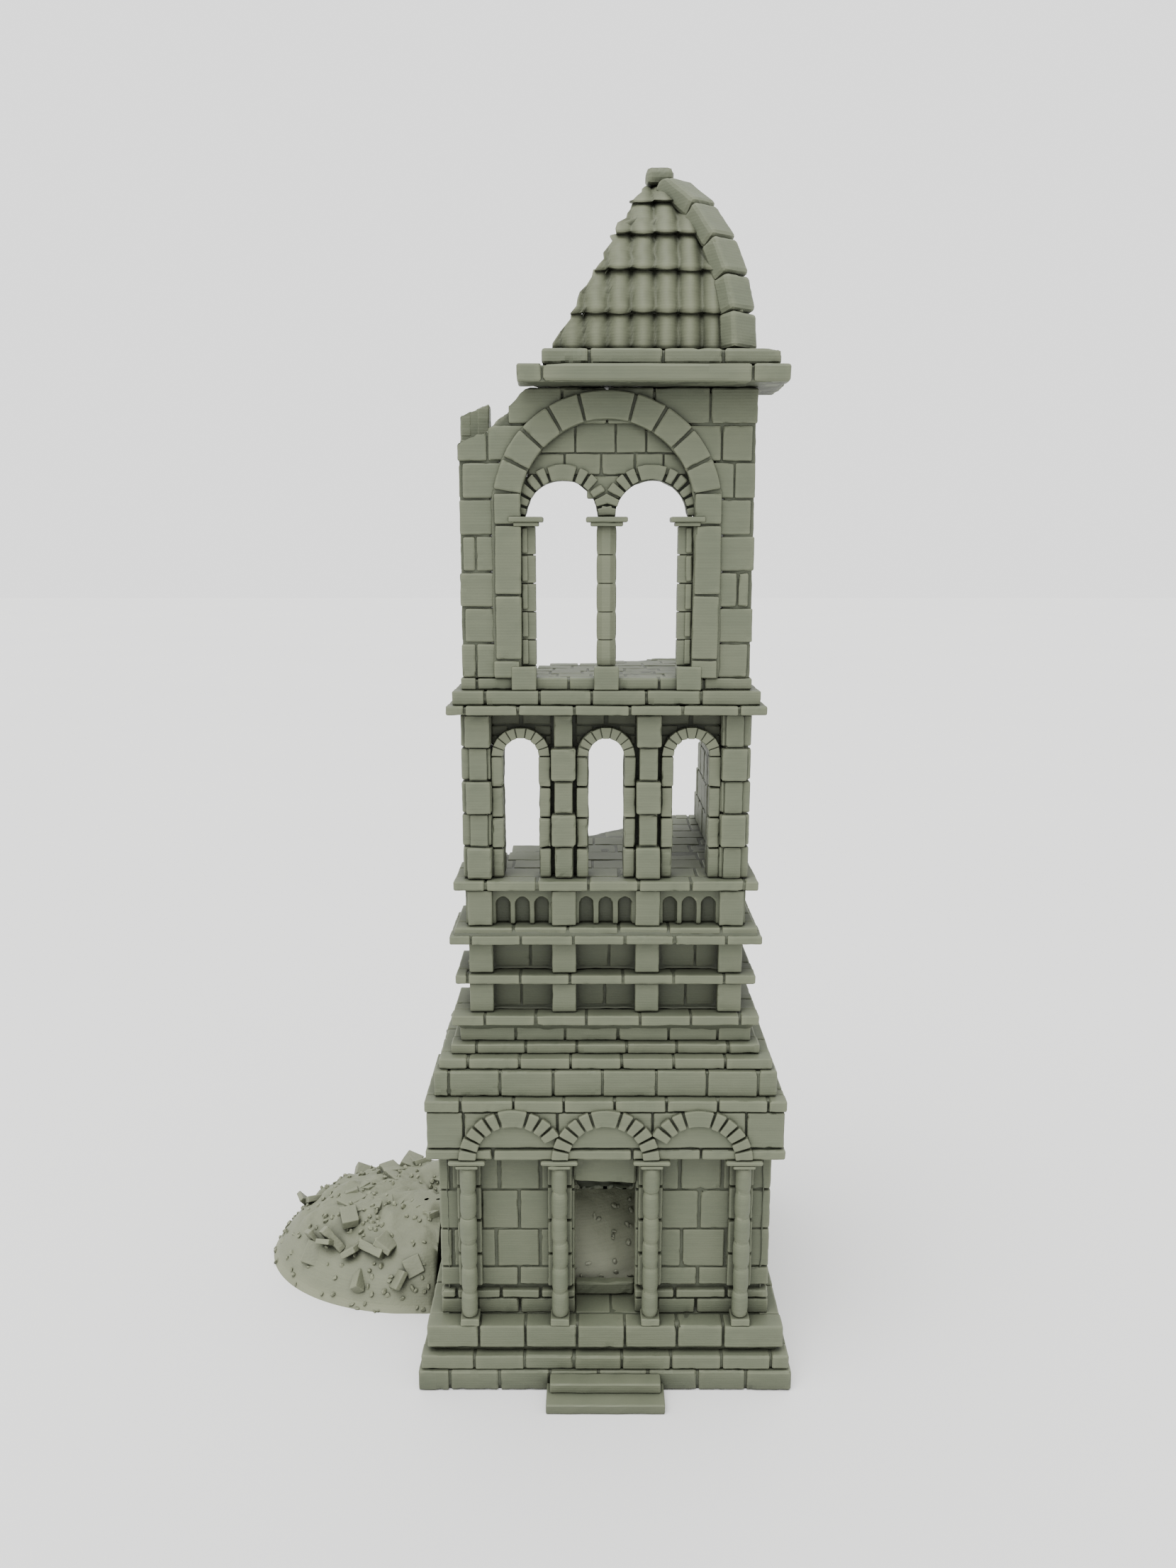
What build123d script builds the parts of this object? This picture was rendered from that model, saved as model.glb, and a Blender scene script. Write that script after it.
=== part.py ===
"""Ruined bell tower, a miniature scenery model printed as four stacked sections.

Frame: millimetres, +Z up, front towards -Y, origin at the centre of the plinth's underside.
Sections, bottom to top: ground storey with portico and rubble, arcade storey, belfry, roof.
"""
from build123d import *
import math
import os

os.makedirs("parts", exist_ok=True)

# Fits
storey_clearance = 0.3      # around each register between two sections
register_height = 3.0       # how far a register stands up into the section above
register_width = 34.0
register_depth = 20.0
register_x = 8.0
register_y = -24.0
wall = 10.0                 # thickness of the ground storey's walls
belfry_wall = 9.0

# Overall half-widths: the plinth, and the tower above the stepped courses
plinth_half = 58.0
tower_half = 42.5

# Plinth and steps
plinth_lower_height = 6.8
plinth_upper_height = 4.8
plinth_upper_inset = 0.8
stylobate_inset = 2.6
stylobate_height = 9.1
step_half_width = 18.1
step_tread = 5.1
step_rise = 3.2
step_side_inset = 1.1

# Ground storey
ground_half = plinth_half - 6.6
ground_height = 55.6        # portico floor to the top of the capitals
portico_depth = 5.9         # stylobate edge to the wall behind the columns
doorway_height = 42.5
inner_step_rise = 4.5
inner_step_tread = 3.4
column_edge = 9.4           # outer column's axis to the corner of the ground storey
bay = (ground_half - column_edge) / 1.5     # spacing of the portico's columns
door_pier = 4.5             # middle column's axis to the doorway's jamb behind it
doorway_width = bay - 2 * door_pier
column_radius = 2.55
seat_gap = 0.1              # between pieces that stand close without touching
column_inset = 3.0          # stylobate edge to a column's axis
column_base_height = 2.4
capital_width = 11.2
capital_slab = 1.5
capital_flare = 1.2
drum_count = 6
drum_groove = 0.25
entablature_half = ground_half + 3.0
relief = 0.8                # how far the blind arches stand out
relief_ring = 5.5
relief_lap = 2.6            # how far each blind arch reaches past the middle of the gap to the next
relief_cover = 2.7          # entablature left over their crowns
relief_outer_radius = bay / 2 + relief_lap
entablature_height = relief_outer_radius + relief_cover

# Stepped courses over the entablature: how far each stands in from it, and its height
course_insets = (2.8, 4.2, 7.6)
course_heights = (8.1, 3.5, 3.2)

# Rubble
pile_x, pile_y = -plinth_half - 8.0, 22.0
pile_length, pile_breadth, pile_height = 57.0, 42.0, 23.5
scree_x = -12.0
scree_toe = 0.5             # from the front wall's inner face to the foot of the scree
scree_length, scree_breadth, scree_height = 48.0, 53.0, 34.0

# Arcade storey
frieze_half = tower_half + 1.7
frieze_wall_height = 5.7
frieze_band_half = tower_half + 3.9
frieze_band_height = 3.2
panel_half = tower_half - 0.9
panel_height = 9.6
mid_band_half = tower_half + 2.7
mid_band_height = 2.9
upper_panel_height = 10.0
cornice_half = tower_half + 4.1
cornice_height = 2.8
cornice_top_half = tower_half + 2.7
cornice_top_height = 2.2
balustrade_half = tower_half - 0.6
balustrade_height = 11.2
sill_half = tower_half + 2.7
sill_height = 3.0
arcade_height = 49.6
pilaster_width = 7.2
pilaster_narrowing = 1.4
pilaster_front_half = tower_half + 1.0
pilaster_blocks = 5
pilaster_relief = 1.6
pilaster_edge = 1.4         # outer pilaster to the corner of the tower
arcade_bay = (tower_half - pilaster_edge - pilaster_width / 2) / 1.5
arch_ring = 3.4
arch_gap = 0.3              # between a framed arch and the pilaster beside it
arch_opening = arcade_bay - pilaster_width - 2 * (arch_ring + arch_gap)
arch_head = 4.0             # masonry over an arch's crown
arch_rise = arcade_height - arch_head - arch_ring - arch_opening / 2
frame_front_half = tower_half - 1.0
frame_thickness = 4.0
plate_thickness = 4.5
top_cornice_half = tower_half + 3.7
top_cornice_height = 2.7

# Blind arcading of the balustrade
blinds_to_pier = 0.2        # from the outer blind's share of the bay to the pier
blind_pier = 1.6
blind_pitch = (arcade_bay - pilaster_width - 2 * blinds_to_pier) / 3
blind_width = blind_pitch - blind_pier
blind_depth = 2.0
blind_height = balustrade_height - 2.6

# Belfry
belfry_course_half = tower_half + 1.9
belfry_course_height = 4.2
belfry_half = tower_half - 0.5
belfry_floor_height = 3.5
belfry_height = 80.4        # belfry floor to the eaves
broken_low = 15.3           # how far the front wall's left edge has fallen below the eaves
side_broken = 3.4           # how far the left side wall has fallen behind that corner
broken_run, broken_drop = 12.6, 12.2    # the steep part of that break, beside the eaves
great_ring_outer = 32.4
great_ring = 8.0
crown_cover = 0.8           # wall left over the great arch's crown
spring_height = belfry_height - crown_cover - great_ring_outer
shaft_drop = 1.8            # from the great arch's springing down to the small arches' springing
great_ring_front = belfry_half + 1.2
tympanum_front = belfry_half - 1.0
window_back = belfry_half - 6.0
mullion_width = 6.2
arch_seat = 0.6             # how far a small arch springs over the middle shaft
arch_end_cover = 1.7        # tympanum left between a small arch and the great arch
small_arch_radius = (great_ring_outer - great_ring - arch_end_cover - mullion_width / 2 + arch_seat) / 2
small_arch_spacing = 2 * (small_arch_radius + mullion_width / 2 - arch_seat)
side_shaft_width = 4.2
window_capital_width = 11.8
window_capital_height = 2.5
pedestal_width = 7.5
pedestal_height = 3.5

# Roof
eave_front = belfry_half + 10.0
eave_left, eave_right, eave_back = -25.2, belfry_half + 7.2, -22.0
eave_height = 4.7
eave_inner_y = belfry_wall - belfry_half - 0.5
upper_eave_inset = 2.3
upper_eave_left = -18.5
upper_eave_height = 4.2
roof_half_front = belfry_half + 2.2
roof_half_side = belfry_half - 5.6
roof_rise = 55.4
roof_shell = 6.0
tile_overhang = 1.0
tile_rows = 5
roof_height = 0.87 * roof_rise    # upper eave to the broken top
roof_top_width = roof_shell + 0.6    # what is left of each slope at the broken top
break_left_low, break_back_low = -14.6, -22.0
hip_stones = 5
hip_stone_size, hip_stone_depth = 9.4, 5.4
hip_seat, hip_gap = 0.8, 0.5
finial_size = 7.8
finial_height = 4.6

# Where the ruin is broken off: y on the left face and x on the back face of each section's plan,
# and how far back the side walls still stand at their foot and at their top
ground_break_left, ground_break_x = -12.0, 4.0
ground_right_end, entablature_right_end = 52.0, 44.0
ground_left_end, entablature_left_end = -8.0, -20.0
arcade_break_left, arcade_break_x = -22.0, 27.0
arcade_right_end, cornice_right_end = 42.5, 24.0
arcade_left_end, cornice_left_end = -22.0, -30.0
cornice_break_x = 12.0
belfry_break_left, belfry_break_x, belfry_back = -24.0, 16.0, 22.0
belfry_right_end, belfry_left_end = -14.0, -28.0

# Levels that several pieces share
plinth_z = plinth_lower_height + plinth_upper_height
portico_floor = plinth_z + stylobate_height
stylobate_half = plinth_half - stylobate_inset
wall_front = stylobate_half - portico_depth
column_base_width = 2 * (portico_depth - column_inset)
capital_depth = column_base_width
wall_inner = wall_front - wall
scree_y = scree_breadth + scree_toe - wall_inner
ground_top = portico_floor + ground_height
entablature_top = ground_top + entablature_height
arcade_base = entablature_top + sum(course_heights)


def save(piece, name):
    """Label one finished piece and write it as its own file."""
    piece.part.label = name
    export_step(piece.part, f"parts/{name}.step")


def broken_square(half, left_y, back_x, back_y=None):
    """Sketch a square whose back left corner has fallen away along a diagonal."""
    far = half if back_y is None else back_y
    Polygon((-half, -half), (half, -half), (half, far), (back_x, far), (-half, left_y), align=None)


def rectangle(x0, x1, y0, y1, mode=Mode.ADD):
    """Sketch a rectangle from its limits."""
    Polygon((x0, y0), (x1, y0), (x1, y1), (x0, y1), align=None, mode=mode)


def block(name, x0, x1, y0, y1, z0, z1):
    """Make one dressed block from its limits."""
    with BuildPart() as piece:
        with BuildSketch(Plane.XY.offset(z0)):
            rectangle(x0, x1, y0, y1)
        extrude(amount=z1 - z0)
    save(piece, name)


def side_wall(name, x0, x1, near, far, low, high, steps, top_far):
    """Make a side wall whose far end is broken off in even steps."""
    outline = [(near, low)]
    for step in range(steps):
        reach = far + (top_far - far) * step / (steps - 1)
        outline.append((reach, low + (high - low) * step / steps))
        outline.append((reach, low + (high - low) * (step + 1) / steps))
    outline.append((near, high))
    with BuildPart() as piece:
        with BuildSketch(Plane.YZ.offset(x0)):
            Polygon(*outline, align=None)
        extrude(amount=x1 - x0)
    save(piece, name)


def heap(x, y, length, breadth, height, floor):
    """Return the level sections of a rounded heap of rubble, from its floor to its crown."""
    sections = []
    for share in (0.0, 0.3, 0.55, 0.75, 0.9, 1.0):
        spread = max((1.0 - share) ** 0.25, 0.12)
        with BuildSketch(Plane.XY.offset(floor + height * share)) as section:
            with Locations((x, y)):
                Ellipse(length * spread, breadth * spread)
        sections.append(section.sketch)
    return sections


# Plinth, stylobate and steps
block("plinth_lower_course", -plinth_half, plinth_half, -plinth_half, plinth_half,
      0, plinth_lower_height)
upper_half = plinth_half - plinth_upper_inset
block("plinth_upper_course", -upper_half, upper_half, -upper_half, upper_half,
      plinth_lower_height, plinth_z)
block("stylobate", -stylobate_half, stylobate_half, -stylobate_half, stylobate_half,
      plinth_z, portico_floor)
block("step_lower", -step_half_width, step_half_width,
      -plinth_half - 2 * step_tread, -plinth_half, 0, step_rise)
block("step_upper", step_side_inset - step_half_width, step_half_width - step_side_inset,
      -plinth_half - step_tread, -plinth_half, step_rise, 2 * step_rise)

# Ground storey walls
door_half = doorway_width / 2
door_top = portico_floor + doorway_height
block("portico_wall_left", -ground_half, -door_half, -wall_front, -wall_inner,
      portico_floor, ground_top)
block("portico_wall_right", door_half, ground_half, -wall_front, -wall_inner,
      portico_floor, ground_top)
block("door_lintel", -door_half, door_half, -wall_front, -wall_inner, door_top, ground_top)
block("inner_step", -door_half, door_half, -wall_inner, inner_step_tread - wall_inner,
      portico_floor, portico_floor + inner_step_rise)
side_wall("ground_side_wall_right", ground_half - wall, ground_half, -wall_inner, ground_right_end,
          portico_floor, ground_top, 5, entablature_right_end)
side_wall("ground_side_wall_left", -ground_half, wall - ground_half, -wall_inner, ground_left_end,
          portico_floor, ground_top, 4, entablature_left_end)

# Portico columns
column_y = column_inset - stylobate_half
for number in range(4):
    column_x = (number - 1.5) * bay
    drum_height = (ground_height - column_base_height - capital_slab - capital_flare) / drum_count
    with BuildPart() as column:
        with BuildSketch(Plane.XY.offset(portico_floor)):
            with Locations((column_x, column_y)):
                Rectangle(column_base_width, column_base_width)
        extrude(amount=column_base_height)
        for drum in range(drum_count):
            drum_low = portico_floor + column_base_height + drum * drum_height
            with BuildSketch(Plane.XY.offset(drum_low)):
                with Locations((column_x, column_y)):
                    Circle(column_radius - drum_groove)
            extrude(amount=drum_height)
            with BuildSketch(Plane.XY.offset(drum_low + drum_groove)):
                with Locations((column_x, column_y)):
                    Circle(column_radius)
            extrude(amount=drum_height - 2 * drum_groove)
        flare_low = ground_top - capital_slab - capital_flare
        for level, width in ((flare_low, 2 * column_radius), (ground_top - capital_slab, capital_width)):
            with BuildSketch(Plane.XY.offset(level)):
                with Locations((column_x, column_y)):
                    Rectangle(width, min(width, capital_depth))
        loft()
        with BuildSketch(Plane.XY.offset(ground_top - capital_slab)):
            with Locations((column_x, column_y)):
                Rectangle(capital_width, capital_depth)
        extrude(amount=capital_slab)
    save(column, f"portico_column_{number + 1}")

# Entablature over the portico, with a short left arm and a long right arm
with BuildPart() as entablature:
    with BuildSketch(Plane.XY.offset(ground_top)):
        rectangle(-entablature_half, entablature_half, -entablature_half, -wall_inner)
        rectangle(ground_half - wall, entablature_half, -wall_inner, entablature_right_end)
        rectangle(-entablature_half, wall - ground_half, -wall_inner, entablature_left_end)
    extrude(amount=entablature_height)
save(entablature, "entablature")

# Blind arches in relief; the middle one laps over its neighbours
for name, centre in (("left", -bay), ("centre", 0.0), ("right", bay)):
    with BuildPart() as blind_arch:
        with BuildSketch(Plane.XZ.offset(entablature_half)):
            with Locations((centre, ground_top)):
                Circle(relief_outer_radius)
                Circle(relief_outer_radius - relief_ring, mode=Mode.SUBTRACT)
            rectangle(centre - bay, centre + bay, ground_top - bay, ground_top, Mode.SUBTRACT)
            if centre:
                with Locations((0, ground_top)):
                    Circle(relief_outer_radius, mode=Mode.SUBTRACT)
        extrude(amount=relief)
    save(blind_arch, f"blind_arch_{name}")

# Stepped courses; the top one carries the register for the arcade storey
course_low = entablature_top
for number, (inset, height) in enumerate(zip(course_insets, course_heights), start=1):
    with BuildPart() as stepped_course:
        with BuildSketch(Plane.XY.offset(course_low)):
            broken_square(entablature_half - inset, ground_break_left, ground_break_x)
        extrude(amount=height)
        if number == len(course_insets):
            with BuildSketch(Plane.XY.offset(course_low + height)):
                with Locations((register_x, register_y)):
                    Rectangle(register_width, register_depth)
            extrude(amount=register_height)
    save(stepped_course, f"stepped_course_{number}")
    course_low += height

# Rubble heap beside the tower, and the scree that fills the room behind the doorway
with BuildPart() as rubble_heap:
    loft(heap(pile_x, pile_y, pile_length, pile_breadth, pile_height, 0))
    with BuildSketch():
        rectangle(-plinth_half, plinth_half, -2 * plinth_half, 2 * plinth_half)
    extrude(amount=2 * plinth_half, mode=Mode.SUBTRACT)
save(rubble_heap, "rubble_heap")

with BuildPart() as rubble_scree:
    loft(heap(scree_x, scree_y, scree_length, scree_breadth, scree_height, portico_floor))
    with BuildSketch(Plane.XY.offset(portico_floor)):
        rectangle(-2 * plinth_half, 2 * plinth_half, -2 * plinth_half, inner_step_tread - wall_inner)
        rectangle(-2 * plinth_half, wall - ground_half, -plinth_half, ground_left_end)
        rectangle(ground_half - wall, 2 * plinth_half, -plinth_half, plinth_half)
        rectangle(-2 * plinth_half, -stylobate_half, -plinth_half, plinth_half)
        rectangle(-plinth_half, plinth_half, stylobate_half, 2 * plinth_half)
    extrude(amount=2 * plinth_half, mode=Mode.SUBTRACT)
save(rubble_scree, "rubble_scree")


def arcade_band(name, low, layers, register=False):
    """Make one or more courses of the arcade storey's base as one piece."""
    with BuildPart() as piece:
        layer_low = low
        for half, height in layers:
            with BuildSketch(Plane.XY.offset(layer_low)):
                broken_square(half, arcade_break_left, arcade_break_x)
            extrude(amount=height)
            layer_low += height
        if register:
            with BuildSketch(Plane.XY.offset(low)):
                with Locations((register_x, register_y)):
                    Rectangle(register_width + 2 * storey_clearance,
                              register_depth + 2 * storey_clearance)
            extrude(amount=register_height + storey_clearance, mode=Mode.SUBTRACT)
    save(piece, name)
    return layer_low


def panel_band(name, low, half, height):
    """Make a recessed panel course with flat pilaster blocks on its front."""
    with BuildPart() as piece:
        with BuildSketch(Plane.XY.offset(low)):
            broken_square(half, arcade_break_left, arcade_break_x)
            for place in range(4):
                centre = (place - 1.5) * arcade_bay
                rectangle(centre - pilaster_width / 2, centre + pilaster_width / 2,
                          -half - pilaster_relief, -half)
        extrude(amount=height)
    save(piece, name)
    return low + height


# Base of the arcade storey
frieze_top = arcade_band("frieze_base", arcade_base,
                         ((frieze_half, frieze_wall_height), (frieze_band_half, frieze_band_height)),
                         register=True)
panel_top = panel_band("frieze_panel_lower", frieze_top, panel_half, panel_height)
band_top = arcade_band("frieze_band", panel_top, ((mid_band_half, mid_band_height),))
upper_panel_top = panel_band("frieze_panel_upper", band_top, panel_half, upper_panel_height)
cornice_top = arcade_band("balcony_cornice", upper_panel_top,
                          ((cornice_half, cornice_height), (cornice_top_half, cornice_top_height)))

# Balustrade with three bays of three blind round-headed niches
balustrade_top = cornice_top + balustrade_height
with BuildPart() as balustrade:
    with BuildSketch(Plane.XY.offset(cornice_top)):
        broken_square(balustrade_half, arcade_break_left, arcade_break_x)
        for place in range(4):
            pier_x = (place - 1.5) * arcade_bay
            rectangle(pier_x - pilaster_width / 2, pier_x + pilaster_width / 2,
                      -balustrade_half - pilaster_relief, -balustrade_half)
    extrude(amount=balustrade_height)
    niche_spring = cornice_top + blind_height - blind_width / 2
    with BuildSketch(Plane.XZ.offset(balustrade_half)):
        for bay_number in (-1, 0, 1):
            for niche in (-1, 0, 1):
                niche_x = bay_number * arcade_bay + niche * blind_pitch
                rectangle(niche_x - blind_width / 2, niche_x + blind_width / 2, cornice_top, niche_spring)
                with Locations((niche_x, niche_spring)):
                    Circle(blind_width / 2)
    extrude(amount=-blind_depth, mode=Mode.SUBTRACT)
save(balustrade, "balustrade")
arcade_floor = arcade_band("arcade_sill", balustrade_top, ((sill_half, sill_height),))
arcade_top = arcade_floor + arcade_height


def half_disc(centre, radius, spring, mode=Mode.ADD):
    """Sketch the upper half of a disc that stands on its springing line."""
    left, right, crown = (centre - radius, spring), (centre + radius, spring), (centre, spring + radius)
    make_face([Edge.make_line(left, right), Edge.make_three_point_arc(right, crown, left)], mode=mode)


def arched_opening(centre, half_width, low, spring, mode):
    """Sketch one round-headed opening on the current upright plane."""
    rectangle(centre - half_width, centre + half_width, low, spring, mode)
    half_disc(centre, half_width, spring, mode)


# Arcade wall: a plate with three arched openings, framed arches and banded pilasters
plate_half = arcade_bay + arch_opening / 2 + arch_ring
plate_front = frame_front_half - frame_thickness
arch_spring = arcade_floor + arch_rise
with BuildPart() as arcade_plate:
    with BuildSketch(Plane.XZ.offset(plate_front - plate_thickness)):
        rectangle(-plate_half, plate_half, arcade_floor, arcade_top)
        for bay_number in (-1, 0, 1):
            arched_opening(bay_number * arcade_bay, arch_opening / 2, arcade_floor, arch_spring,
                           Mode.SUBTRACT)
    extrude(amount=plate_thickness)
save(arcade_plate, "arcade_plate")

for name, bay_number in (("left", -1), ("centre", 0), ("right", 1)):
    with BuildPart() as arch_frame:
        with BuildSketch(Plane.XZ.offset(plate_front)):
            arched_opening(bay_number * arcade_bay, arch_opening / 2 + arch_ring, arcade_floor,
                           arch_spring, Mode.ADD)
            arched_opening(bay_number * arcade_bay, arch_opening / 2, arcade_floor, arch_spring,
                           Mode.SUBTRACT)
        extrude(amount=frame_thickness)
    save(arch_frame, f"arch_frame_{name}")

pilaster_block = arcade_height / pilaster_blocks
for number in range(4):
    pilaster_x = (number - 1.5) * arcade_bay
    outer = number in (0, 3)
    pilaster_back = frame_front_half if outer else plate_front
    with BuildPart() as pilaster:
        for level in range(pilaster_blocks):
            narrow = (level + number) % 2
            half_width = (pilaster_width - narrow * pilaster_narrowing) / 2
            front = pilaster_front_half - narrow * pilaster_narrowing / 2
            with BuildSketch(Plane.XY.offset(arcade_floor + level * pilaster_block)):
                rectangle(pilaster_x - half_width, pilaster_x + half_width, -front, -pilaster_back)
            extrude(amount=pilaster_block)
    save(pilaster, f"arcade_pilaster_{number + 1}")

side_wall("arcade_side_wall_right", plate_half, tower_half, -frame_front_half, arcade_right_end,
          arcade_floor, arcade_top, 5, cornice_right_end)
side_wall("arcade_side_wall_left", -tower_half, -plate_half, -frame_front_half, arcade_left_end,
          arcade_floor, arcade_top, 4, cornice_left_end)

# Cornice over the arcade, with the register for the belfry
belfry_base = arcade_top + top_cornice_height
belfry_register_height = register_height
with BuildPart() as top_cornice:
    with BuildSketch(Plane.XY.offset(arcade_top)):
        broken_square(top_cornice_half, cornice_left_end, cornice_break_x, cornice_right_end)
    extrude(amount=top_cornice_height)
    with BuildSketch(Plane.XY.offset(belfry_base)):
        with Locations((register_x, register_y)):
            Rectangle(register_width, register_depth)
    extrude(amount=belfry_register_height)
save(top_cornice, "top_cornice")

# Belfry base course and floor
with BuildPart() as belfry_course:
    with BuildSketch(Plane.XY.offset(belfry_base)):
        broken_square(belfry_course_half, belfry_break_left, belfry_break_x, belfry_back)
    extrude(amount=belfry_course_height)
    with BuildSketch(Plane.XY.offset(belfry_base)):
        with Locations((register_x, register_y)):
            Rectangle(register_width + 2 * storey_clearance, register_depth + 2 * storey_clearance)
    extrude(amount=belfry_register_height + storey_clearance, mode=Mode.SUBTRACT)
save(belfry_course, "belfry_course")

belfry_floor_low = belfry_base + belfry_course_height
belfry_floor_top = belfry_floor_low + belfry_floor_height
with BuildPart() as belfry_floor:
    with BuildSketch(Plane.XY.offset(belfry_floor_low)):
        broken_square(belfry_half, belfry_break_left, belfry_break_x, belfry_back)
    extrude(amount=belfry_floor_height)
save(belfry_floor, "belfry_floor")

# Belfry front wall round the great arch, its top left corner broken off
eaves = belfry_floor_top + belfry_height
great_spring = belfry_floor_top + spring_height
break_top_x = eave_left + 3.4
with BuildPart() as belfry_front:
    with BuildSketch(Plane.XZ.offset(belfry_half - belfry_wall)):
        Polygon((-belfry_half, belfry_floor_top), (belfry_half, belfry_floor_top),
                (belfry_half, eaves), (break_top_x, eaves), (break_top_x - broken_run, eaves - broken_drop),
                (-belfry_half, eaves - broken_low), align=None)
        arched_opening(0, great_ring_outer, belfry_floor_top, great_spring, Mode.SUBTRACT)
    extrude(amount=belfry_wall)
save(belfry_front, "belfry_front_wall")

with BuildPart() as great_arch:
    with BuildSketch(Plane.XZ.offset(window_back)):
        arched_opening(0, great_ring_outer, belfry_floor_top, great_spring, Mode.ADD)
        arched_opening(0, great_ring_outer - great_ring, belfry_floor_top, great_spring, Mode.SUBTRACT)
    extrude(amount=great_ring_front - window_back)
save(great_arch, "great_arch")

# Tympanum with the two small arches, carried on the window shafts
shaft_top = great_spring - shaft_drop
tympanum_radius = great_ring_outer - great_ring
with BuildPart() as tympanum:
    with BuildSketch(Plane.XZ.offset(window_back)):
        arched_opening(0, tympanum_radius, shaft_top, great_spring, Mode.ADD)
        for side in (-1, 1):
            half_disc(side * small_arch_spacing / 2, small_arch_radius, shaft_top, Mode.SUBTRACT)
    extrude(amount=tympanum_front - window_back)
save(tympanum, "tympanum")

# Window shafts: square pedestal, shaft and capital slab in one turned-looking piece
shaft_y = -(window_back + tympanum_front) / 2
shaft_depth = tympanum_front - window_back
side_shaft_x = tympanum_radius - side_shaft_width / 2
for name, centre, width in (("left", -side_shaft_x, side_shaft_width), ("centre", 0.0, mullion_width),
                            ("right", side_shaft_x, side_shaft_width)):
    outer_limit = tympanum_radius if centre else window_capital_width / 2
    with BuildPart() as shaft:
        with BuildSketch(Plane.XY.offset(belfry_floor_top)):
            with Locations((centre, shaft_y)):
                Rectangle(max(width, min(pedestal_width, 2 * (outer_limit - abs(centre)))), shaft_depth)
        extrude(amount=pedestal_height)
        with BuildSketch(Plane.XY.offset(belfry_floor_top + pedestal_height)):
            with Locations((centre, shaft_y)):
                Rectangle(width, shaft_depth - 0.8)
        extrude(amount=shaft_top - window_capital_height - belfry_floor_top - pedestal_height)
        capital_inner = window_capital_width / 2 if not centre else width / 2 + 2.7
        capital_outer = window_capital_width / 2 if not centre else width / 2 - seat_gap
        toward = -1 if centre > 0 else 1
        with BuildSketch(Plane.XY.offset(shaft_top - window_capital_height)):
            ends = sorted((centre + toward * capital_inner, centre - toward * capital_outer))
            rectangle(ends[0], ends[1], -tympanum_front, -window_back)
        extrude(amount=window_capital_height)
    save(shaft, f"window_shaft_{name}")

side_wall("belfry_side_wall_right", belfry_half - belfry_wall, belfry_half, belfry_wall - belfry_half,
          belfry_back, belfry_floor_top, eaves, 6, belfry_right_end)
side_wall("belfry_side_wall_left", -belfry_half, belfry_wall - belfry_half,
          belfry_wall - belfry_half, belfry_break_left, belfry_floor_top, eaves - side_broken, 4,
          belfry_left_end)

# Eaves; the lip under the lower slab drops inside the belfry's walls
eave_top = eaves + eave_height
with BuildPart() as lower_eave:
    with BuildSketch(Plane.XY.offset(eaves)):
        Polygon((eave_left, -eave_front), (eave_right, -eave_front), (eave_right, eave_back),
                (belfry_half - belfry_wall, eave_back), (upper_eave_left, eave_inner_y), align=None)
    extrude(amount=eave_height)
    lip_half = belfry_half - belfry_wall - storey_clearance
    with BuildSketch(Plane.XY.offset(eaves)):
        rectangle(lip_half - register_depth, lip_half, -lip_half, -lip_half + 5)
    extrude(amount=-register_height)
save(lower_eave, "eave_lower")

upper_eave_top = eave_top + upper_eave_height
with BuildPart() as upper_eave:
    with BuildSketch(Plane.XY.offset(eave_top)):
        upper_front, upper_right = upper_eave_inset - eave_front, eave_right - upper_eave_inset
        Polygon((upper_eave_left, upper_front), (upper_right, upper_front), (upper_right, eave_back),
                (belfry_half - belfry_wall, eave_back), (upper_eave_left, eave_inner_y), align=None)
    extrude(amount=upper_eave_height)
save(upper_eave, "eave_upper")


def roof_reach(height, half):
    """Distance of a slope's outer face from the middle at a height above the upper eave."""
    return half * math.sqrt(1 - (height / roof_rise) ** 2)


def roof_plan(height, overhang):
    """Sketch the front and right slopes' section at a height above the upper eave."""
    share = height / roof_height
    front, side = roof_reach(height, roof_half_front), roof_reach(height, roof_half_side)
    top_front = roof_reach(roof_height, roof_half_front) - roof_top_width
    top_side = roof_reach(roof_height, roof_half_side) - roof_top_width
    left = break_left_low + (top_side - break_left_low) * share
    back = break_back_low - (top_front + break_back_low) * share
    with BuildSketch(Plane.XY.offset(upper_eave_top + height)) as section:
        Polygon((left, -front - overhang), (side + overhang, -front - overhang), (side + overhang, back),
                (side - roof_shell, back), (side - roof_shell, roof_shell - front),
                (left, roof_shell - front), align=None)
    return section.sketch


# Domed tile roof: five overlapping tile courses, broken off along a slant
row_height = roof_height / tile_rows
with BuildPart() as tiles:
    for row in range(tile_rows):
        loft([roof_plan(row * row_height, tile_overhang), roof_plan((row + 1) * row_height, 0.0)])
save(tiles, "roof_tiles")


def hip_plan(height):
    """Sketch a hip stone's section, set square to the hip, at a height above the upper eave."""
    side = roof_reach(height, roof_half_side) - hip_seat
    front = roof_reach(height, roof_half_front) - hip_seat
    with BuildSketch(Plane.XY.offset(upper_eave_top + height)) as section:
        with Locations(Location((side, -front), 45)):
            Rectangle(hip_stone_size, hip_stone_depth)
    return section.sketch


# Stones along the hip, leaning with it and seated on the tiles
with BuildPart() as hip:
    for stone in range(hip_stones):
        stone_low = roof_height * stone / hip_stones + hip_gap
        loft([hip_plan(stone_low), hip_plan(stone_low + roof_height / hip_stones - hip_gap)])
    add(tiles.part, mode=Mode.SUBTRACT)
save(hip, "hip_stones")

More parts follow.
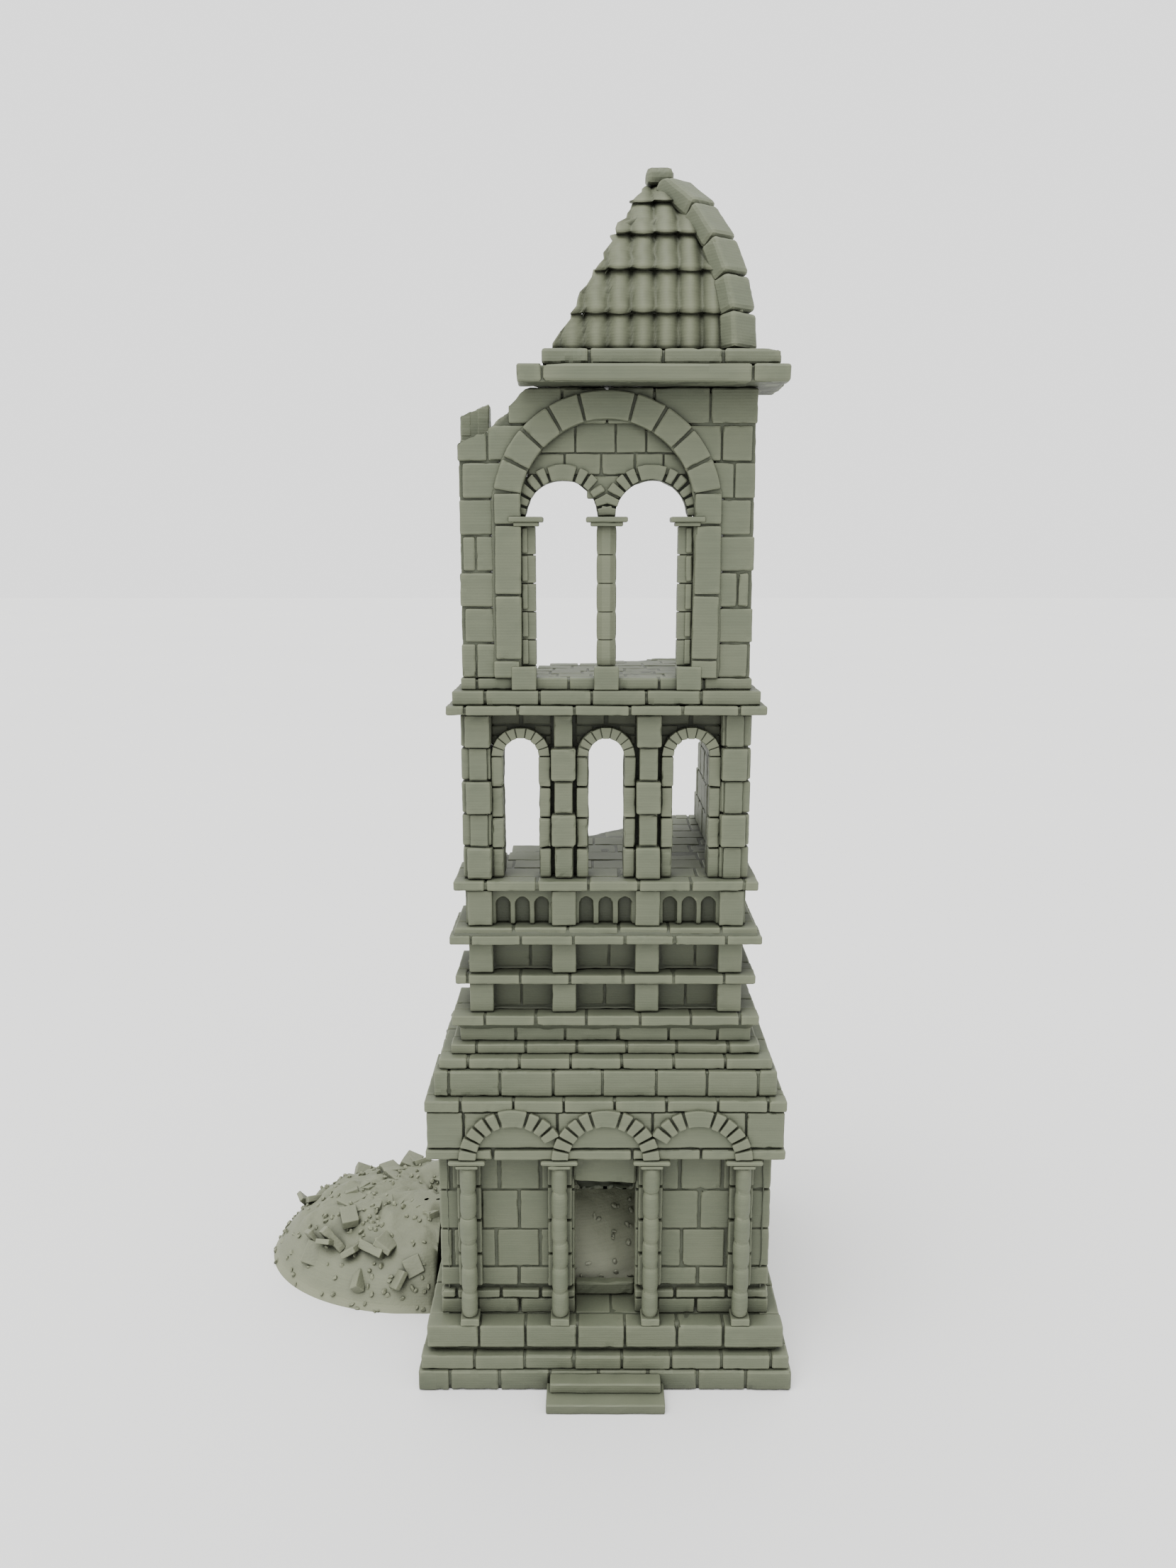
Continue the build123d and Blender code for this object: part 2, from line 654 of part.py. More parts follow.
# Top stone
finial_x = roof_reach(roof_height, roof_half_side) - roof_shell / 2
finial_y = roof_shell / 2 - roof_reach(roof_height, roof_half_front)
with BuildPart() as finial:
    with BuildSketch(Plane.XY.offset(upper_eave_top + roof_height)):
        with Locations((finial_x, finial_y)):
            Rectangle(finial_size, finial_size)
    extrude(amount=finial_height)
save(finial, "finial_stone")
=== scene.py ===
"""Looks of the ruined bell tower miniature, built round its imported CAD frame.

Every stone is its own worn block, laid by one Geometry Nodes tree over a rough core. The sizes come from
the CAD nodes' boxes, in millimetres, and meshes are written in metres.
"""
import logging
import math
import random
from dataclasses import dataclass, field, replace
from enum import Enum
from functools import partial
from typing import Callable, Iterable, Optional, Sequence

import bmesh
import bpy
import numpy as np
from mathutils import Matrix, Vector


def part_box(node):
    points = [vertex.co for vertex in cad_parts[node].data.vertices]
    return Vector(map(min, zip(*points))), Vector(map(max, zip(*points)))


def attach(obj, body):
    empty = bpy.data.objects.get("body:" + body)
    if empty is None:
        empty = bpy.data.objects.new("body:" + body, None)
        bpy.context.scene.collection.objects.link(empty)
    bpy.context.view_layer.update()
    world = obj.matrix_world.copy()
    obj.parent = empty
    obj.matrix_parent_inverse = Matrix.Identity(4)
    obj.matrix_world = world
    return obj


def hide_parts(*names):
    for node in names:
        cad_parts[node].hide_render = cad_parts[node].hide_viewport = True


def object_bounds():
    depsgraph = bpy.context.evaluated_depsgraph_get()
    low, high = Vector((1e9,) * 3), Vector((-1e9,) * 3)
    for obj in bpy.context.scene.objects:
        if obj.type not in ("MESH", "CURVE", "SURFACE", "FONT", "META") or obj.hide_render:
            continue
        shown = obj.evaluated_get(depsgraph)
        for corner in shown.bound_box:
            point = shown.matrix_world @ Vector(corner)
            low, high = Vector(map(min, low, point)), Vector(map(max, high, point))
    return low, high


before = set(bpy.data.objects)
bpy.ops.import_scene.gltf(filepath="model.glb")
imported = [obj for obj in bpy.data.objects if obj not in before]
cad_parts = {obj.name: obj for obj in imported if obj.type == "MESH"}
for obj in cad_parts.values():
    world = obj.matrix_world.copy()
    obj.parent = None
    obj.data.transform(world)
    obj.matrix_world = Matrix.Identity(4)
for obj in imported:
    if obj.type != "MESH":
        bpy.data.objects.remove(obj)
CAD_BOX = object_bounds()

LOG = logging.getLogger("bell_tower")
MM = 0.001
TAU = 2.0 * math.pi


# ---------------------------------------------------------------- small tools

def linear(hex_colour: str) -> tuple[float, float, float, float]:
    """Turn an sRGB hex colour into linear values.

    Args:
        hex_colour: six hex digits after a hash sign.

    Returns:
        Linear red, green, blue and an alpha of one.
    """
    values = [int(hex_colour[i:i + 2], 16) / 255.0 for i in (1, 3, 5)]
    curve = [v / 12.92 if v <= 0.04045 else ((v + 0.055) / 1.055) ** 2.4 for v in values]
    return (*curve, 1.0)


def add_node(tree: bpy.types.NodeTree, kind: str, settings: Optional[dict] = None,
             inputs: Optional[dict] = None) -> bpy.types.Node:
    """Add one node with its settings, and link or set its inputs.

    Args:
        tree: the tree that gets the node.
        kind: the node's type name.
        settings: properties of the node.
        inputs: socket name or number to a value, or to the output socket that feeds it.

    Returns:
        The new node.
    """
    node = tree.nodes.new(kind)
    for name, value in (settings or {}).items():
        setattr(node, name, value)
    for name, value in (inputs or {}).items():
        if isinstance(value, bpy.types.NodeSocket):
            tree.links.new(value, node.inputs[name])
        else:
            node.inputs[name].default_value = value
    return node


def lattice(points: np.ndarray, cell: float, seed: int) -> np.ndarray:
    """Smooth random values from -1 to 1 over space.

    Args:
        points: positions, one row each, in millimetres.
        cell: size of a feature.
        seed: which field of values.

    Returns:
        One value for each point.
    """
    scaled = np.asarray(points, float) / cell + 1000.0
    base = np.floor(scaled).astype(np.int64)
    part = scaled - base
    part = part * part * (3.0 - 2.0 * part)
    total = np.zeros(len(scaled))
    for corner in range(8):
        step = np.array([corner & 1, corner >> 1 & 1, corner >> 2 & 1])
        key = (base + step) @ np.array([73856093, 19349663, 83492791]) + seed * 2654435
        key = (key ^ (key >> 13)) * 1274126177 & 0xFFFFFFFF
        value = ((key ^ (key >> 16)) & 0xFFFF) / 32767.5 - 1.0
        total += value * np.prod(np.where(step == 1, part, 1.0 - part), axis=1)
    return total


def rugged(points: np.ndarray, cell: float, seed: int, octaves: int = 3) -> np.ndarray:
    """Sum octaves of lattice values, each half the size of the one before."""
    return sum(lattice(points, cell / 2 ** i, seed + i) / 2 ** i for i in range(octaves))


def new_tree(name: str, inputs: Sequence[tuple[str, str]]) -> bpy.types.NodeTree:
    """Make an empty Geometry Nodes tree: a mesh in, a mesh out, and named inputs with their types."""
    tree = bpy.data.node_groups.new(name, "GeometryNodeTree")
    for label, kind in (("Geometry", "Geometry"), *inputs):
        tree.interface.new_socket(label, in_out="INPUT", socket_type=f"NodeSocket{kind}")
    tree.interface.new_socket("Geometry", in_out="OUTPUT", socket_type="NodeSocketGeometry")
    return tree


@dataclass(frozen=True)
class Box:
    """Limits of a CAD node, in millimetres."""

    x0: float
    x1: float
    y0: float
    y1: float
    z0: float
    z1: float

    @classmethod
    def of(cls, node: str) -> "Box":
        """Read a CAD node's limits from the frame."""
        low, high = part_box(node)
        values = [v / MM for pair in zip(low, high) for v in pair]
        return cls(*values)


def corners(node: str) -> np.ndarray:
    """Return a CAD node's vertices in millimetres."""
    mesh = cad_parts[node].data
    return np.array([v.co for v in mesh.vertices]) / MM


def far_reach(node: str, height: float) -> float:
    """Return how far back (+Y) a stepped wall still stands at a height."""
    points = corners(node)
    return float(points[points[:, 2] > height - 0.01, 1].max())


class Side(Enum):
    """A face of the square tower, named by where it looks; the value is its turn in degrees."""

    FRONT = 0
    RIGHT = 90
    BACK = 180
    LEFT = 270

    @property
    def turn(self) -> float:
        """Turn about the vertical, in radians."""
        return math.radians(self.value)

    @property
    def across(self) -> "Side":
        """The side that looks the other way."""
        return Side((self.value + 180) % 360)

    def span(self, near: float, far: float) -> tuple[float, float]:
        """Return the ends along a side face of what runs between two places from front to back (+Y)."""
        return (near, far) if self is Side.RIGHT else (-far, -near)

    def place(self, along: float, reach: float, height: float) -> tuple[float, float, float]:
        """Return the point at a distance along the face and out from the tower's axis."""
        c, s = round(math.cos(self.turn)), round(math.sin(self.turn))
        return (along * c + reach * s, along * s - reach * c, height)


# ---------------------------------------------------------------- finishes

@dataclass(frozen=True)
class PrintedPla:
    """Matt FDM-printed PLA: even, slightly waxy, with fine level layer lines, and with painted shade
    darkening its hollows and recesses.

    The eye sees a soft green-grey, a little lighter on sharp edges as a painted highlight, with level streaks
    where layers differ.
    """

    name: str
    body: str = "#595E4C"
    light: str = "#676957"
    shade: str = "#454D40"
    edge: str = "#797C66"       # painted highlight: sharp edges are coloured paler, as where they catch the light
    layer_mm: float = 0.8       # real layers are 0.2 mm; drawn coarser so that they show in a render
    layer_bump: float = 0.10
    streak_mm: float = 0.9
    blotch_mm: float = 16.0
    grit_mm: float = 0.9
    grit_bump: float = 0.12
    # painted shade: hollows and joints this close to other surfaces are darkened
    hollow_shade_mm: float = 2.2
    recess_shade_mm: float = 14.0     # painted shade: how far off a neighbour still darkens a recess
    # painted shade: the dark colour that hollows and joints are mixed towards
    hollow_shade_colour: str = "#383C2F"
    roughness: float = 0.62

    def material(self) -> bpy.types.Material:
        """Build the material once and return it."""
        known = bpy.data.materials.get(self.name)
        if known:
            return known
        made = bpy.data.materials.new(self.name)
        made.use_nodes = True
        tree = made.node_tree
        tree.nodes.clear()
        place = add_node(tree, "ShaderNodeTexCoord").outputs["Object"]
        blotch = add_node(tree, "ShaderNodeTexNoise", inputs={
            "Vector": place, "Scale": 1.0 / (self.blotch_mm * MM), "Detail": 3.0, "Roughness": 0.55})
        flat = add_node(tree, "ShaderNodeMapping", inputs={
            "Vector": place, "Scale": (60.0, 60.0, 1.0 / (self.streak_mm * MM))})
        streak = add_node(tree, "ShaderNodeTexNoise", inputs={
            "Vector": flat.outputs[0], "Scale": 1.0, "Detail": 2.0, "Roughness": 0.6})
        tone = add_node(tree, "ShaderNodeMix", {"data_type": "RGBA"}, {
            "Factor": blotch.outputs[0], 6: linear(self.shade), 7: linear(self.light)})
        evened = add_node(tree, "ShaderNodeMix", {"data_type": "RGBA"}, {
            "Factor": 0.62, 6: tone.outputs[2], 7: linear(self.body)})
        lines = add_node(tree, "ShaderNodeMapRange", inputs={
            0: streak.outputs[0], 1: 0.3, 2: 0.7, 3: 0.94, 4: 1.05})
        streaked = add_node(tree, "ShaderNodeVectorMath", {"operation": "SCALE"}, {
            0: evened.outputs[2], "Scale": lines.outputs[0]})
        # painted shade: ambient occlusion mixes hollows and joints towards the dark hollow colour
        hollow = add_node(tree, "ShaderNodeAmbientOcclusion", {"samples": 6}, {
            "Distance": self.hollow_shade_mm * MM})
        open_share = add_node(tree, "ShaderNodeMapRange", inputs={
            0: hollow.outputs["AO"], 1: 0.1, 2: 0.85, 3: 0.0, 4: 1.0})
        shaded = add_node(tree, "ShaderNodeMix", {"data_type": "RGBA"}, {
            "Factor": open_share.outputs[0], 6: linear(self.hollow_shade_colour), 7: streaked.outputs[0]})
        # painted highlight: pointiness lightens sharp edges towards the edge colour
        sharp = add_node(tree, "ShaderNodeMapRange", inputs={
            0: add_node(tree, "ShaderNodeNewGeometry").outputs["Pointiness"], 1: 0.52, 2: 0.64,
            3: 0.0, 4: 0.55})
        highlighted_edges = add_node(tree, "ShaderNodeMix", {"data_type": "RGBA"}, {
            "Factor": sharp.outputs[0], 6: shaded.outputs[2], 7: linear(self.edge)})
        # painted shade: a wide ambient occlusion darkens recesses behind columns and under cornices
        recess = add_node(tree, "ShaderNodeAmbientOcclusion", {"samples": 6}, {
            "Distance": self.recess_shade_mm * MM})
        depth = add_node(tree, "ShaderNodeMapRange", inputs={
            0: recess.outputs["AO"], 1: 0.25, 2: 0.85, 3: 0.42, 4: 1.0})
        colour = add_node(tree, "ShaderNodeVectorMath", {"operation": "SCALE"}, {
            0: highlighted_edges.outputs[2], "Scale": depth.outputs[0]})
        layers = add_node(tree, "ShaderNodeTexWave", {"wave_type": "BANDS", "bands_direction": "Z"}, {
            "Vector": place, "Scale": TAU / (20.0 * self.layer_mm * MM), "Distortion": 0.6,
            "Detail": 1.0, "Detail Scale": 0.4})
        grit = add_node(tree, "ShaderNodeTexNoise", inputs={
            "Vector": place, "Scale": 1.0 / (self.grit_mm * MM), "Detail": 3.0, "Roughness": 0.6})
        line_bump = add_node(tree, "ShaderNodeBump", inputs={
            "Strength": self.layer_bump, "Distance": 0.2 * MM, "Height": layers.outputs[1]})
        grit_bump = add_node(tree, "ShaderNodeBump", inputs={
            "Strength": self.grit_bump, "Distance": 0.4 * MM, "Height": grit.outputs[0],
            "Normal": line_bump.outputs[0]})
        gloss = add_node(tree, "ShaderNodeMapRange", inputs={
            0: streak.outputs[0], 1: 0.2, 2: 0.8, 3: self.roughness - 0.08, 4: self.roughness + 0.10})
        shader = add_node(tree, "ShaderNodeBsdfPrincipled", inputs={
            "Base Color": colour.outputs[0], "Roughness": gloss.outputs[0], "IOR": 1.46,
            "Specular IOR Level": 0.32, "Normal": grit_bump.outputs[0]})
        add_node(tree, "ShaderNodeOutputMaterial", inputs={"Surface": shader.outputs[0]})
        return made


DRESSED = PrintedPla("matt_pla_dressed_stone")
# painted shade: the core that shows in the joints is coloured darker than the stones, standing in for shade
# deep in the joints
SHADED_CORE = PrintedPla("matt_pla_joint_bed_painted_shade", body="#44483A", light="#4D5142", shade="#383D31", grit_bump=0.3)
BROKEN = PrintedPla("matt_pla_broken_face", body="#585C4C", light="#656957", shade="#434737",
                    grit_mm=1.4, grit_bump=0.45, blotch_mm=7.0)
# painted shade: a wider hollow reach darkens the tiles' valleys more
TILE = PrintedPla("matt_pla_pan_tile", body="#5C604D", light="#696C58", shade="#494E3D", hollow_shade_mm=4.0)
RUBBLE = PrintedPla("matt_pla_rubble", body="#686B59", light="#747764", shade="#565A47",
                    grit_mm=1.1, grit_bump=0.5, blotch_mm=9.0, hollow_shade_mm=3.0)
# painted light: the scree in the doorway is coloured paler, with paler edges and lighter hollow shade, to
# stand in for light reaching it there
SCREE = PrintedPla("matt_pla_scree_painted_light", body="#828572", light="#8C8E7C", shade="#6B6E5C",
                   edge="#929482", hollow_shade_colour="#4A4F40", grit_mm=1.2, grit_bump=0.5, blotch_mm=8.0)


# ---------------------------------------------------------------- stones

@dataclass
class Stone:
    """One worn block: its centre, half sizes, turn, edge wear and bend, in millimetres."""

    centre: tuple[float, float, float]
    half: tuple[float, float, float]
    turn: tuple[float, float, float] = (0.0, 0.0, 0.0)
    wear: float = 0.42
    bend: float = 0.0           # radius of its middle line where it is part of an arch
    round: float = 0.0          # one for a drum, nought for a square block
    sides: int = 0              # cells across a drum's square; two make it eight-sided


@dataclass(frozen=True)
class Weathering:
    """How uneven the stones of a piece are, in millimetres."""

    rough: float = 0.28
    feature: float = 3.4
    chip: float = 3.0           # how many times an edge's rounding grows where it is chipped
    seed: int = 1


CRISP = Weathering()
ROUGH = Weathering(rough=0.75, feature=2.6, chip=5.0, seed=2)
TRODDEN = Weathering(rough=0.35, chip=2.5, seed=4)
SHATTERED = Weathering(rough=1.0, feature=5.0, chip=4.0, seed=12)
CARVED = Weathering(rough=0.2, feature=3.0, seed=7)
SMOOTH = Weathering(rough=0.16, feature=3.0, chip=2.4, seed=9)
LUMPY = Weathering(rough=0.45, feature=4.0, chip=1.6, seed=5)
BATTERED = Weathering(rough=0.55, feature=5.0, chip=3.5)


class StoneTree:
    """Geometry Nodes tree that turns points with sizes into worn stones."""

    GRID_MM = 1.25
    LIMITS = (3, 12)
    MARKS = ("local", "half", "centre", "turn", "wear", "bend", "round")    # the first four are vectors

    def __init__(self) -> None:
        """Build the tree with its named inputs."""
        self.tree = new_tree("worn_stones", (
            ("Cells X", "Int"), ("Cells Y", "Int"), ("Cells Z", "Int"), ("Chip", "Float"),
            ("Rough", "Float"), ("Feature", "Float"), ("Seed", "Int"), ("Material", "Material")))
        self.wire()

    def work_out(self, kind: str, operation: str, *values: object) -> bpy.types.NodeSocket:
        """Add a node that has an operation, feed its inputs in order and return its result."""
        node = add_node(self.tree, kind, {"operation": operation}, dict(enumerate(values)))
        return node.outputs["Value" if operation == "LENGTH" else 0]

    def wire(self) -> None:
        """Lay out the nodes: cube on each point, rounded edges, bend, turn, then weathering."""
        tree = self.tree
        vec, num = (partial(self.work_out, kind) for kind in ("ShaderNodeVectorMath", "ShaderNodeMath"))
        given = tree.nodes.new("NodeGroupInput").outputs
        cells = [num("ADD", given[f"Cells {axis}"], 1.0) for axis in "XYZ"]
        cube = add_node(tree, "GeometryNodeMeshCube", inputs={
            "Size": (2.0, 2.0, 2.0), "Vertices X": cells[0], "Vertices Y": cells[1],
            "Vertices Z": cells[2]})
        position = tree.nodes.new("GeometryNodeInputPosition").outputs[0]
        marked = add_node(tree, "GeometryNodeStoreNamedAttribute", {"data_type": "FLOAT_VECTOR"}, {
            "Geometry": cube.outputs[0], "Name": "local", "Value": position})
        centred = add_node(tree, "GeometryNodeStoreNamedAttribute", {"data_type": "FLOAT_VECTOR"}, {
            "Geometry": given["Geometry"], "Name": "centre", "Value": position})
        laid = add_node(tree, "GeometryNodeInstanceOnPoints", inputs={
            "Points": centred.outputs[0], "Instance": marked.outputs[0]})
        real = add_node(tree, "GeometryNodeRealizeInstances", inputs={"Geometry": laid.outputs[0]})

        local, half, centre, turn, wear, bend, is_round = (add_node(
            tree, "GeometryNodeInputNamedAttribute",
            {"data_type": "FLOAT_VECTOR" if number < 4 else "FLOAT"}, {0: name}).outputs[0]
            for number, name in enumerate(self.MARKS))
        inner = [num("DIVIDE", 1.0, num("SUBTRACT", 1.0, num("DIVIDE", 2.0, given[f"Cells {axis}"])))
                 for axis in "XYZ"]
        stretch = add_node(tree, "ShaderNodeCombineXYZ", inputs=dict(enumerate(inner))).outputs[0]
        edge = vec("FLOOR", vec("ADD", vec("ABSOLUTE", local), (0.001, 0.001, 0.001)))
        within = vec("SUBTRACT", (1.0, 1.0, 1.0), edge)
        reach = vec("ADD", vec("MULTIPLY", edge, half),
                    vec("MULTIPLY", vec("MULTIPLY", within, stretch), vec("SUBTRACT", half, wear)))
        square = vec("MULTIPLY", local, reach)
        flat = vec("MULTIPLY", vec("DIVIDE", square, half), (1.0, 1.0, 0.0))
        sides = add_node(tree, "ShaderNodeSeparateXYZ", inputs={0: vec("ABSOLUTE", flat)}).outputs
        widest = num("MAXIMUM", sides[0], sides[1])
        to_disc = num("DIVIDE", widest, num("MAXIMUM", vec("LENGTH", flat), 0.0001))
        squeeze = add_node(tree, "ShaderNodeMix", inputs={
            0: is_round, 2: 1.0, 3: to_disc}).outputs[0]
        rise = add_node(tree, "ShaderNodeSeparateXYZ", inputs={0: vec("DIVIDE", square, half)}).outputs[2]
        girth = add_node(tree, "ShaderNodeSeparateXYZ", inputs={0: half}).outputs[0]
        taper = num("MULTIPLY", num("POWER", num("ABSOLUTE", rise), 6.0), num("DIVIDE", wear, girth))
        barrel = num("MULTIPLY", squeeze, num("SUBTRACT", 1.0, num("MULTIPLY", is_round, taper)))
        to_round = add_node(tree, "ShaderNodeCombineXYZ", inputs={0: barrel, 1: barrel, 2: 1.0})

        chips = add_node(tree, "ShaderNodeTexNoise", {"noise_dimensions": "4D"}, {
            "Vector": vec("ADD", centre, square), "W": given["Seed"], "Scale": 420.0, "Detail": 1.0})
        chipped = add_node(tree, "ShaderNodeMapRange", inputs={
            0: chips.outputs[0], 1: 0.56, 2: 0.78, 3: 1.0, 4: given["Chip"]})
        square_edge = num("SUBTRACT", 1.0, num("MULTIPLY", is_round, 0.98))
        radius = num("MULTIPLY", num("MULTIPLY", wear, chipped.outputs[0]), square_edge)
        limit = vec("MAXIMUM", vec("SUBTRACT", half, radius), (0.0, 0.0, 0.0))
        seat = vec("MINIMUM", vec("MAXIMUM", square, vec("MULTIPLY", limit, (-1.0, -1.0, -1.0))), limit)
        away = vec("SUBTRACT", square, seat)
        push = num("MINIMUM", vec("LENGTH", away), radius)
        rounded = vec("ADD", seat, vec("MULTIPLY", vec("NORMALIZE", away), push))
        shaped = vec("MULTIPLY", rounded, to_round.outputs[0])

        parts = add_node(tree, "ShaderNodeSeparateXYZ", inputs={0: shaped}).outputs
        angle = num("DIVIDE", parts[0], num("MAXIMUM", bend, 0.001))
        ring = num("ADD", bend, parts[2])
        bent = add_node(tree, "ShaderNodeCombineXYZ", inputs={
            0: num("MULTIPLY", ring, num("SINE", angle)), 1: parts[1],
            2: num("SUBTRACT", num("MULTIPLY", ring, num("COSINE", angle)), bend)}).outputs[0]
        is_bent = num("GREATER_THAN", bend, 0.0)
        chosen = add_node(tree, "ShaderNodeMix", {"data_type": "VECTOR"}, {
            "Factor": is_bent, 4: shaped, 5: bent}).outputs[1]
        spin = add_node(tree, "FunctionNodeEulerToRotation", inputs={0: turn}).outputs[0]
        turned = add_node(tree, "FunctionNodeRotateVector", inputs={0: chosen, 1: spin}).outputs[0]
        placed = vec("ADD", centre, turned)
        uneven = add_node(tree, "ShaderNodeTexNoise", {"noise_dimensions": "4D"}, {
            "Vector": placed, "W": given["Seed"], "Scale": given["Feature"], "Detail": 2.5,
            "Roughness": 0.55})
        swing = vec("SUBTRACT", uneven.outputs[1], (0.5, 0.5, 0.5))
        wander = vec("MULTIPLY", swing, given["Rough"])
        moved = add_node(tree, "GeometryNodeSetPosition", inputs={
            "Geometry": real.outputs[0], "Position": placed, "Offset": wander})
        fold = add_node(tree, "GeometryNodeInputMeshEdgeAngle").outputs[0]
        soft = add_node(tree, "FunctionNodeCompare", {"operation": "LESS_THAN"}, {0: fold, 1: 0.72})
        smooth = add_node(tree, "GeometryNodeSetShadeSmooth", {"domain": "EDGE"}, {
            "Geometry": moved.outputs[0], "Shade Smooth": soft.outputs[0]})
        dressed = add_node(tree, "GeometryNodeSetMaterial", inputs={
            "Geometry": smooth.outputs[0], "Material": given["Material"]})
        add_node(tree, "NodeGroupOutput", inputs={"Geometry": dressed.outputs[0]})

    def cells(self, stone: Stone) -> tuple[int, int, int]:
        """Choose how finely a stone is divided from its size."""
        low, high = self.LIMITS
        counts = [min(high, max(low, math.ceil(2.0 * size / self.GRID_MM))) for size in stone.half]
        counts = [count if count < 6 else 3 * ((count + 2) // 3) for count in counts]
        if stone.sides:
            return (stone.sides, stone.sides, counts[2])
        return (counts[0], min(counts[1], 4), counts[2])

    def lay(self, stones: Iterable[Stone], finish: PrintedPla, weather: Weathering) -> list[bpy.types.Mesh]:
        """Turn stones into plain meshes.

        Args:
            stones: the stones of one piece.
            finish: their finish.
            weather: how uneven they are.

        Returns:
            One mesh for each size of grid that the stones need.
        """
        groups: dict[tuple[int, int, int], list[Stone]] = {}
        for stone in stones:
            groups.setdefault(self.cells(stone), []).append(stone)
        return [self.evaluate(group, cells, finish, weather) for cells, group in sorted(
            groups.items(), key=lambda item: item[0])]

    def evaluate(self, stones: Sequence[Stone], cells: tuple[int, int, int], finish: PrintedPla,
                 weather: Weathering) -> bpy.types.Mesh:
        """Run the tree on one group of stones and return the plain mesh."""
        mesh = bpy.data.meshes.new("points")
        mesh.from_pydata([tuple(v * MM for v in stone.centre) for stone in stones], [], [])
        for name, scale in (("half", MM), ("turn", 1.0)):
            data = mesh.attributes.new(name, "FLOAT_VECTOR", "POINT").data
            data.foreach_set("vector", [v * scale for stone in stones for v in getattr(stone, name)])
        for name in ("wear", "bend", "round"):
            data = mesh.attributes.new(name, "FLOAT", "POINT").data
            scale = 1.0 if name == "round" else MM
            data.foreach_set("value", [getattr(stone, name) * scale for stone in stones])
        values = {"Cells X": cells[0], "Cells Y": cells[1], "Cells Z": cells[2], "Chip": weather.chip,
                  "Rough": weather.rough * MM, "Feature": 1.0 / (weather.feature * MM),
                  "Seed": weather.seed, "Material": finish.material()}
        return run_tree(self.tree, mesh, values)


def run_tree(tree: bpy.types.NodeTree, mesh: bpy.types.Mesh, values: dict) -> bpy.types.Mesh:
    """Evaluate a Geometry Nodes tree on a mesh.

    Args:
        tree: the tree.
        mesh: its input; it is removed afterwards.
        values: input name to value.

    Returns:
        The result as a plain mesh with none of the tree's working attributes.
    """
    holder = bpy.data.objects.new("holder", mesh)
    bpy.context.scene.collection.objects.link(holder)
    modifier = holder.modifiers.new("tree", "NODES")
    modifier.node_group = tree
    for item in tree.interface.items_tree:
        if item.item_type == "SOCKET" and item.in_out == "INPUT" and item.name in values:
            modifier[item.identifier] = values[item.name]
    graph = bpy.context.evaluated_depsgraph_get()
    result = bpy.data.meshes.new_from_object(holder.evaluated_get(graph), depsgraph=graph)
    for name in (*StoneTree.MARKS, "UVMap"):
        if name in result.attributes:
            result.attributes.remove(result.attributes[name])
    bpy.data.objects.remove(holder)
    bpy.data.meshes.remove(mesh)
    return result


class PebbleTree:
    """Geometry Nodes tree that strews broken crumbs over a surface and buries them a little."""

    def __init__(self) -> None:
        """Build the tree with its named inputs."""
        tree = new_tree("strewn_crumbs", (("Density", "Float"), ("Size", "Float"), ("Seed", "Int"),
                                          ("Material", "Material")))
        given = tree.nodes.new("NodeGroupInput").outputs
        normal = add_node(tree, "GeometryNodeInputNormal").outputs[0]
        upward = add_node(tree, "ShaderNodeSeparateXYZ", inputs={0: normal}).outputs[2]
        level = add_node(tree, "FunctionNodeCompare", inputs={0: upward, 1: 0.25})
        spread = add_node(tree, "GeometryNodeDistributePointsOnFaces", inputs={
            "Mesh": given["Geometry"], "Selection": level.outputs[0], "Density": given["Density"],
            "Seed": given["Seed"]})
        crumb = add_node(tree, "GeometryNodeMeshIcoSphere", inputs={"Radius": 1.0, "Subdivisions": 1})
        spin = add_node(tree, "FunctionNodeRandomValue", {"data_type": "FLOAT_VECTOR"}, {
            0: (0.0, 0.0, 0.0), 1: (TAU, TAU, TAU), "Seed": given["Seed"]})
        size = add_node(tree, "FunctionNodeRandomValue", {"data_type": "FLOAT_VECTOR"}, {
            0: (0.35, 0.25, 0.2), 1: (1.0, 0.8, 0.6), "Seed": given["Seed"]})
        scaled = add_node(tree, "ShaderNodeVectorMath", {"operation": "SCALE"}, {
            0: size.outputs[0], "Scale": given["Size"]})
        laid = add_node(tree, "GeometryNodeInstanceOnPoints", inputs={
            "Points": spread.outputs[0], "Instance": crumb.outputs[0], "Rotation": spin.outputs[0],
            "Scale": scaled.outputs[0]})
        real = add_node(tree, "GeometryNodeRealizeInstances", inputs={"Geometry": laid.outputs[0]})
        made = add_node(tree, "GeometryNodeSetMaterial", inputs={
            "Geometry": real.outputs[0], "Material": given["Material"]})
        add_node(tree, "NodeGroupOutput", inputs={"Geometry": made.outputs[0]})
        self.tree = tree

    def strew(self, ground: bpy.types.Mesh, per_cm2: float, size: float, seed: int,
              finish: PrintedPla) -> bpy.types.Mesh:
        """Return crumbs strewn over a mesh.

        Args:
            ground: the surface; it is left as it is.
            per_cm2: crumbs on each square centimetre.
            size: radius of the largest, in millimetres.
            seed: the pattern.
            finish: their finish.
        """
        values = {"Density": per_cm2 * 1e4, "Size": size * MM, "Seed": seed, "Material": finish.material()}
        return run_tree(self.tree, ground.copy(), values)


# ---------------------------------------------------------------- meshes

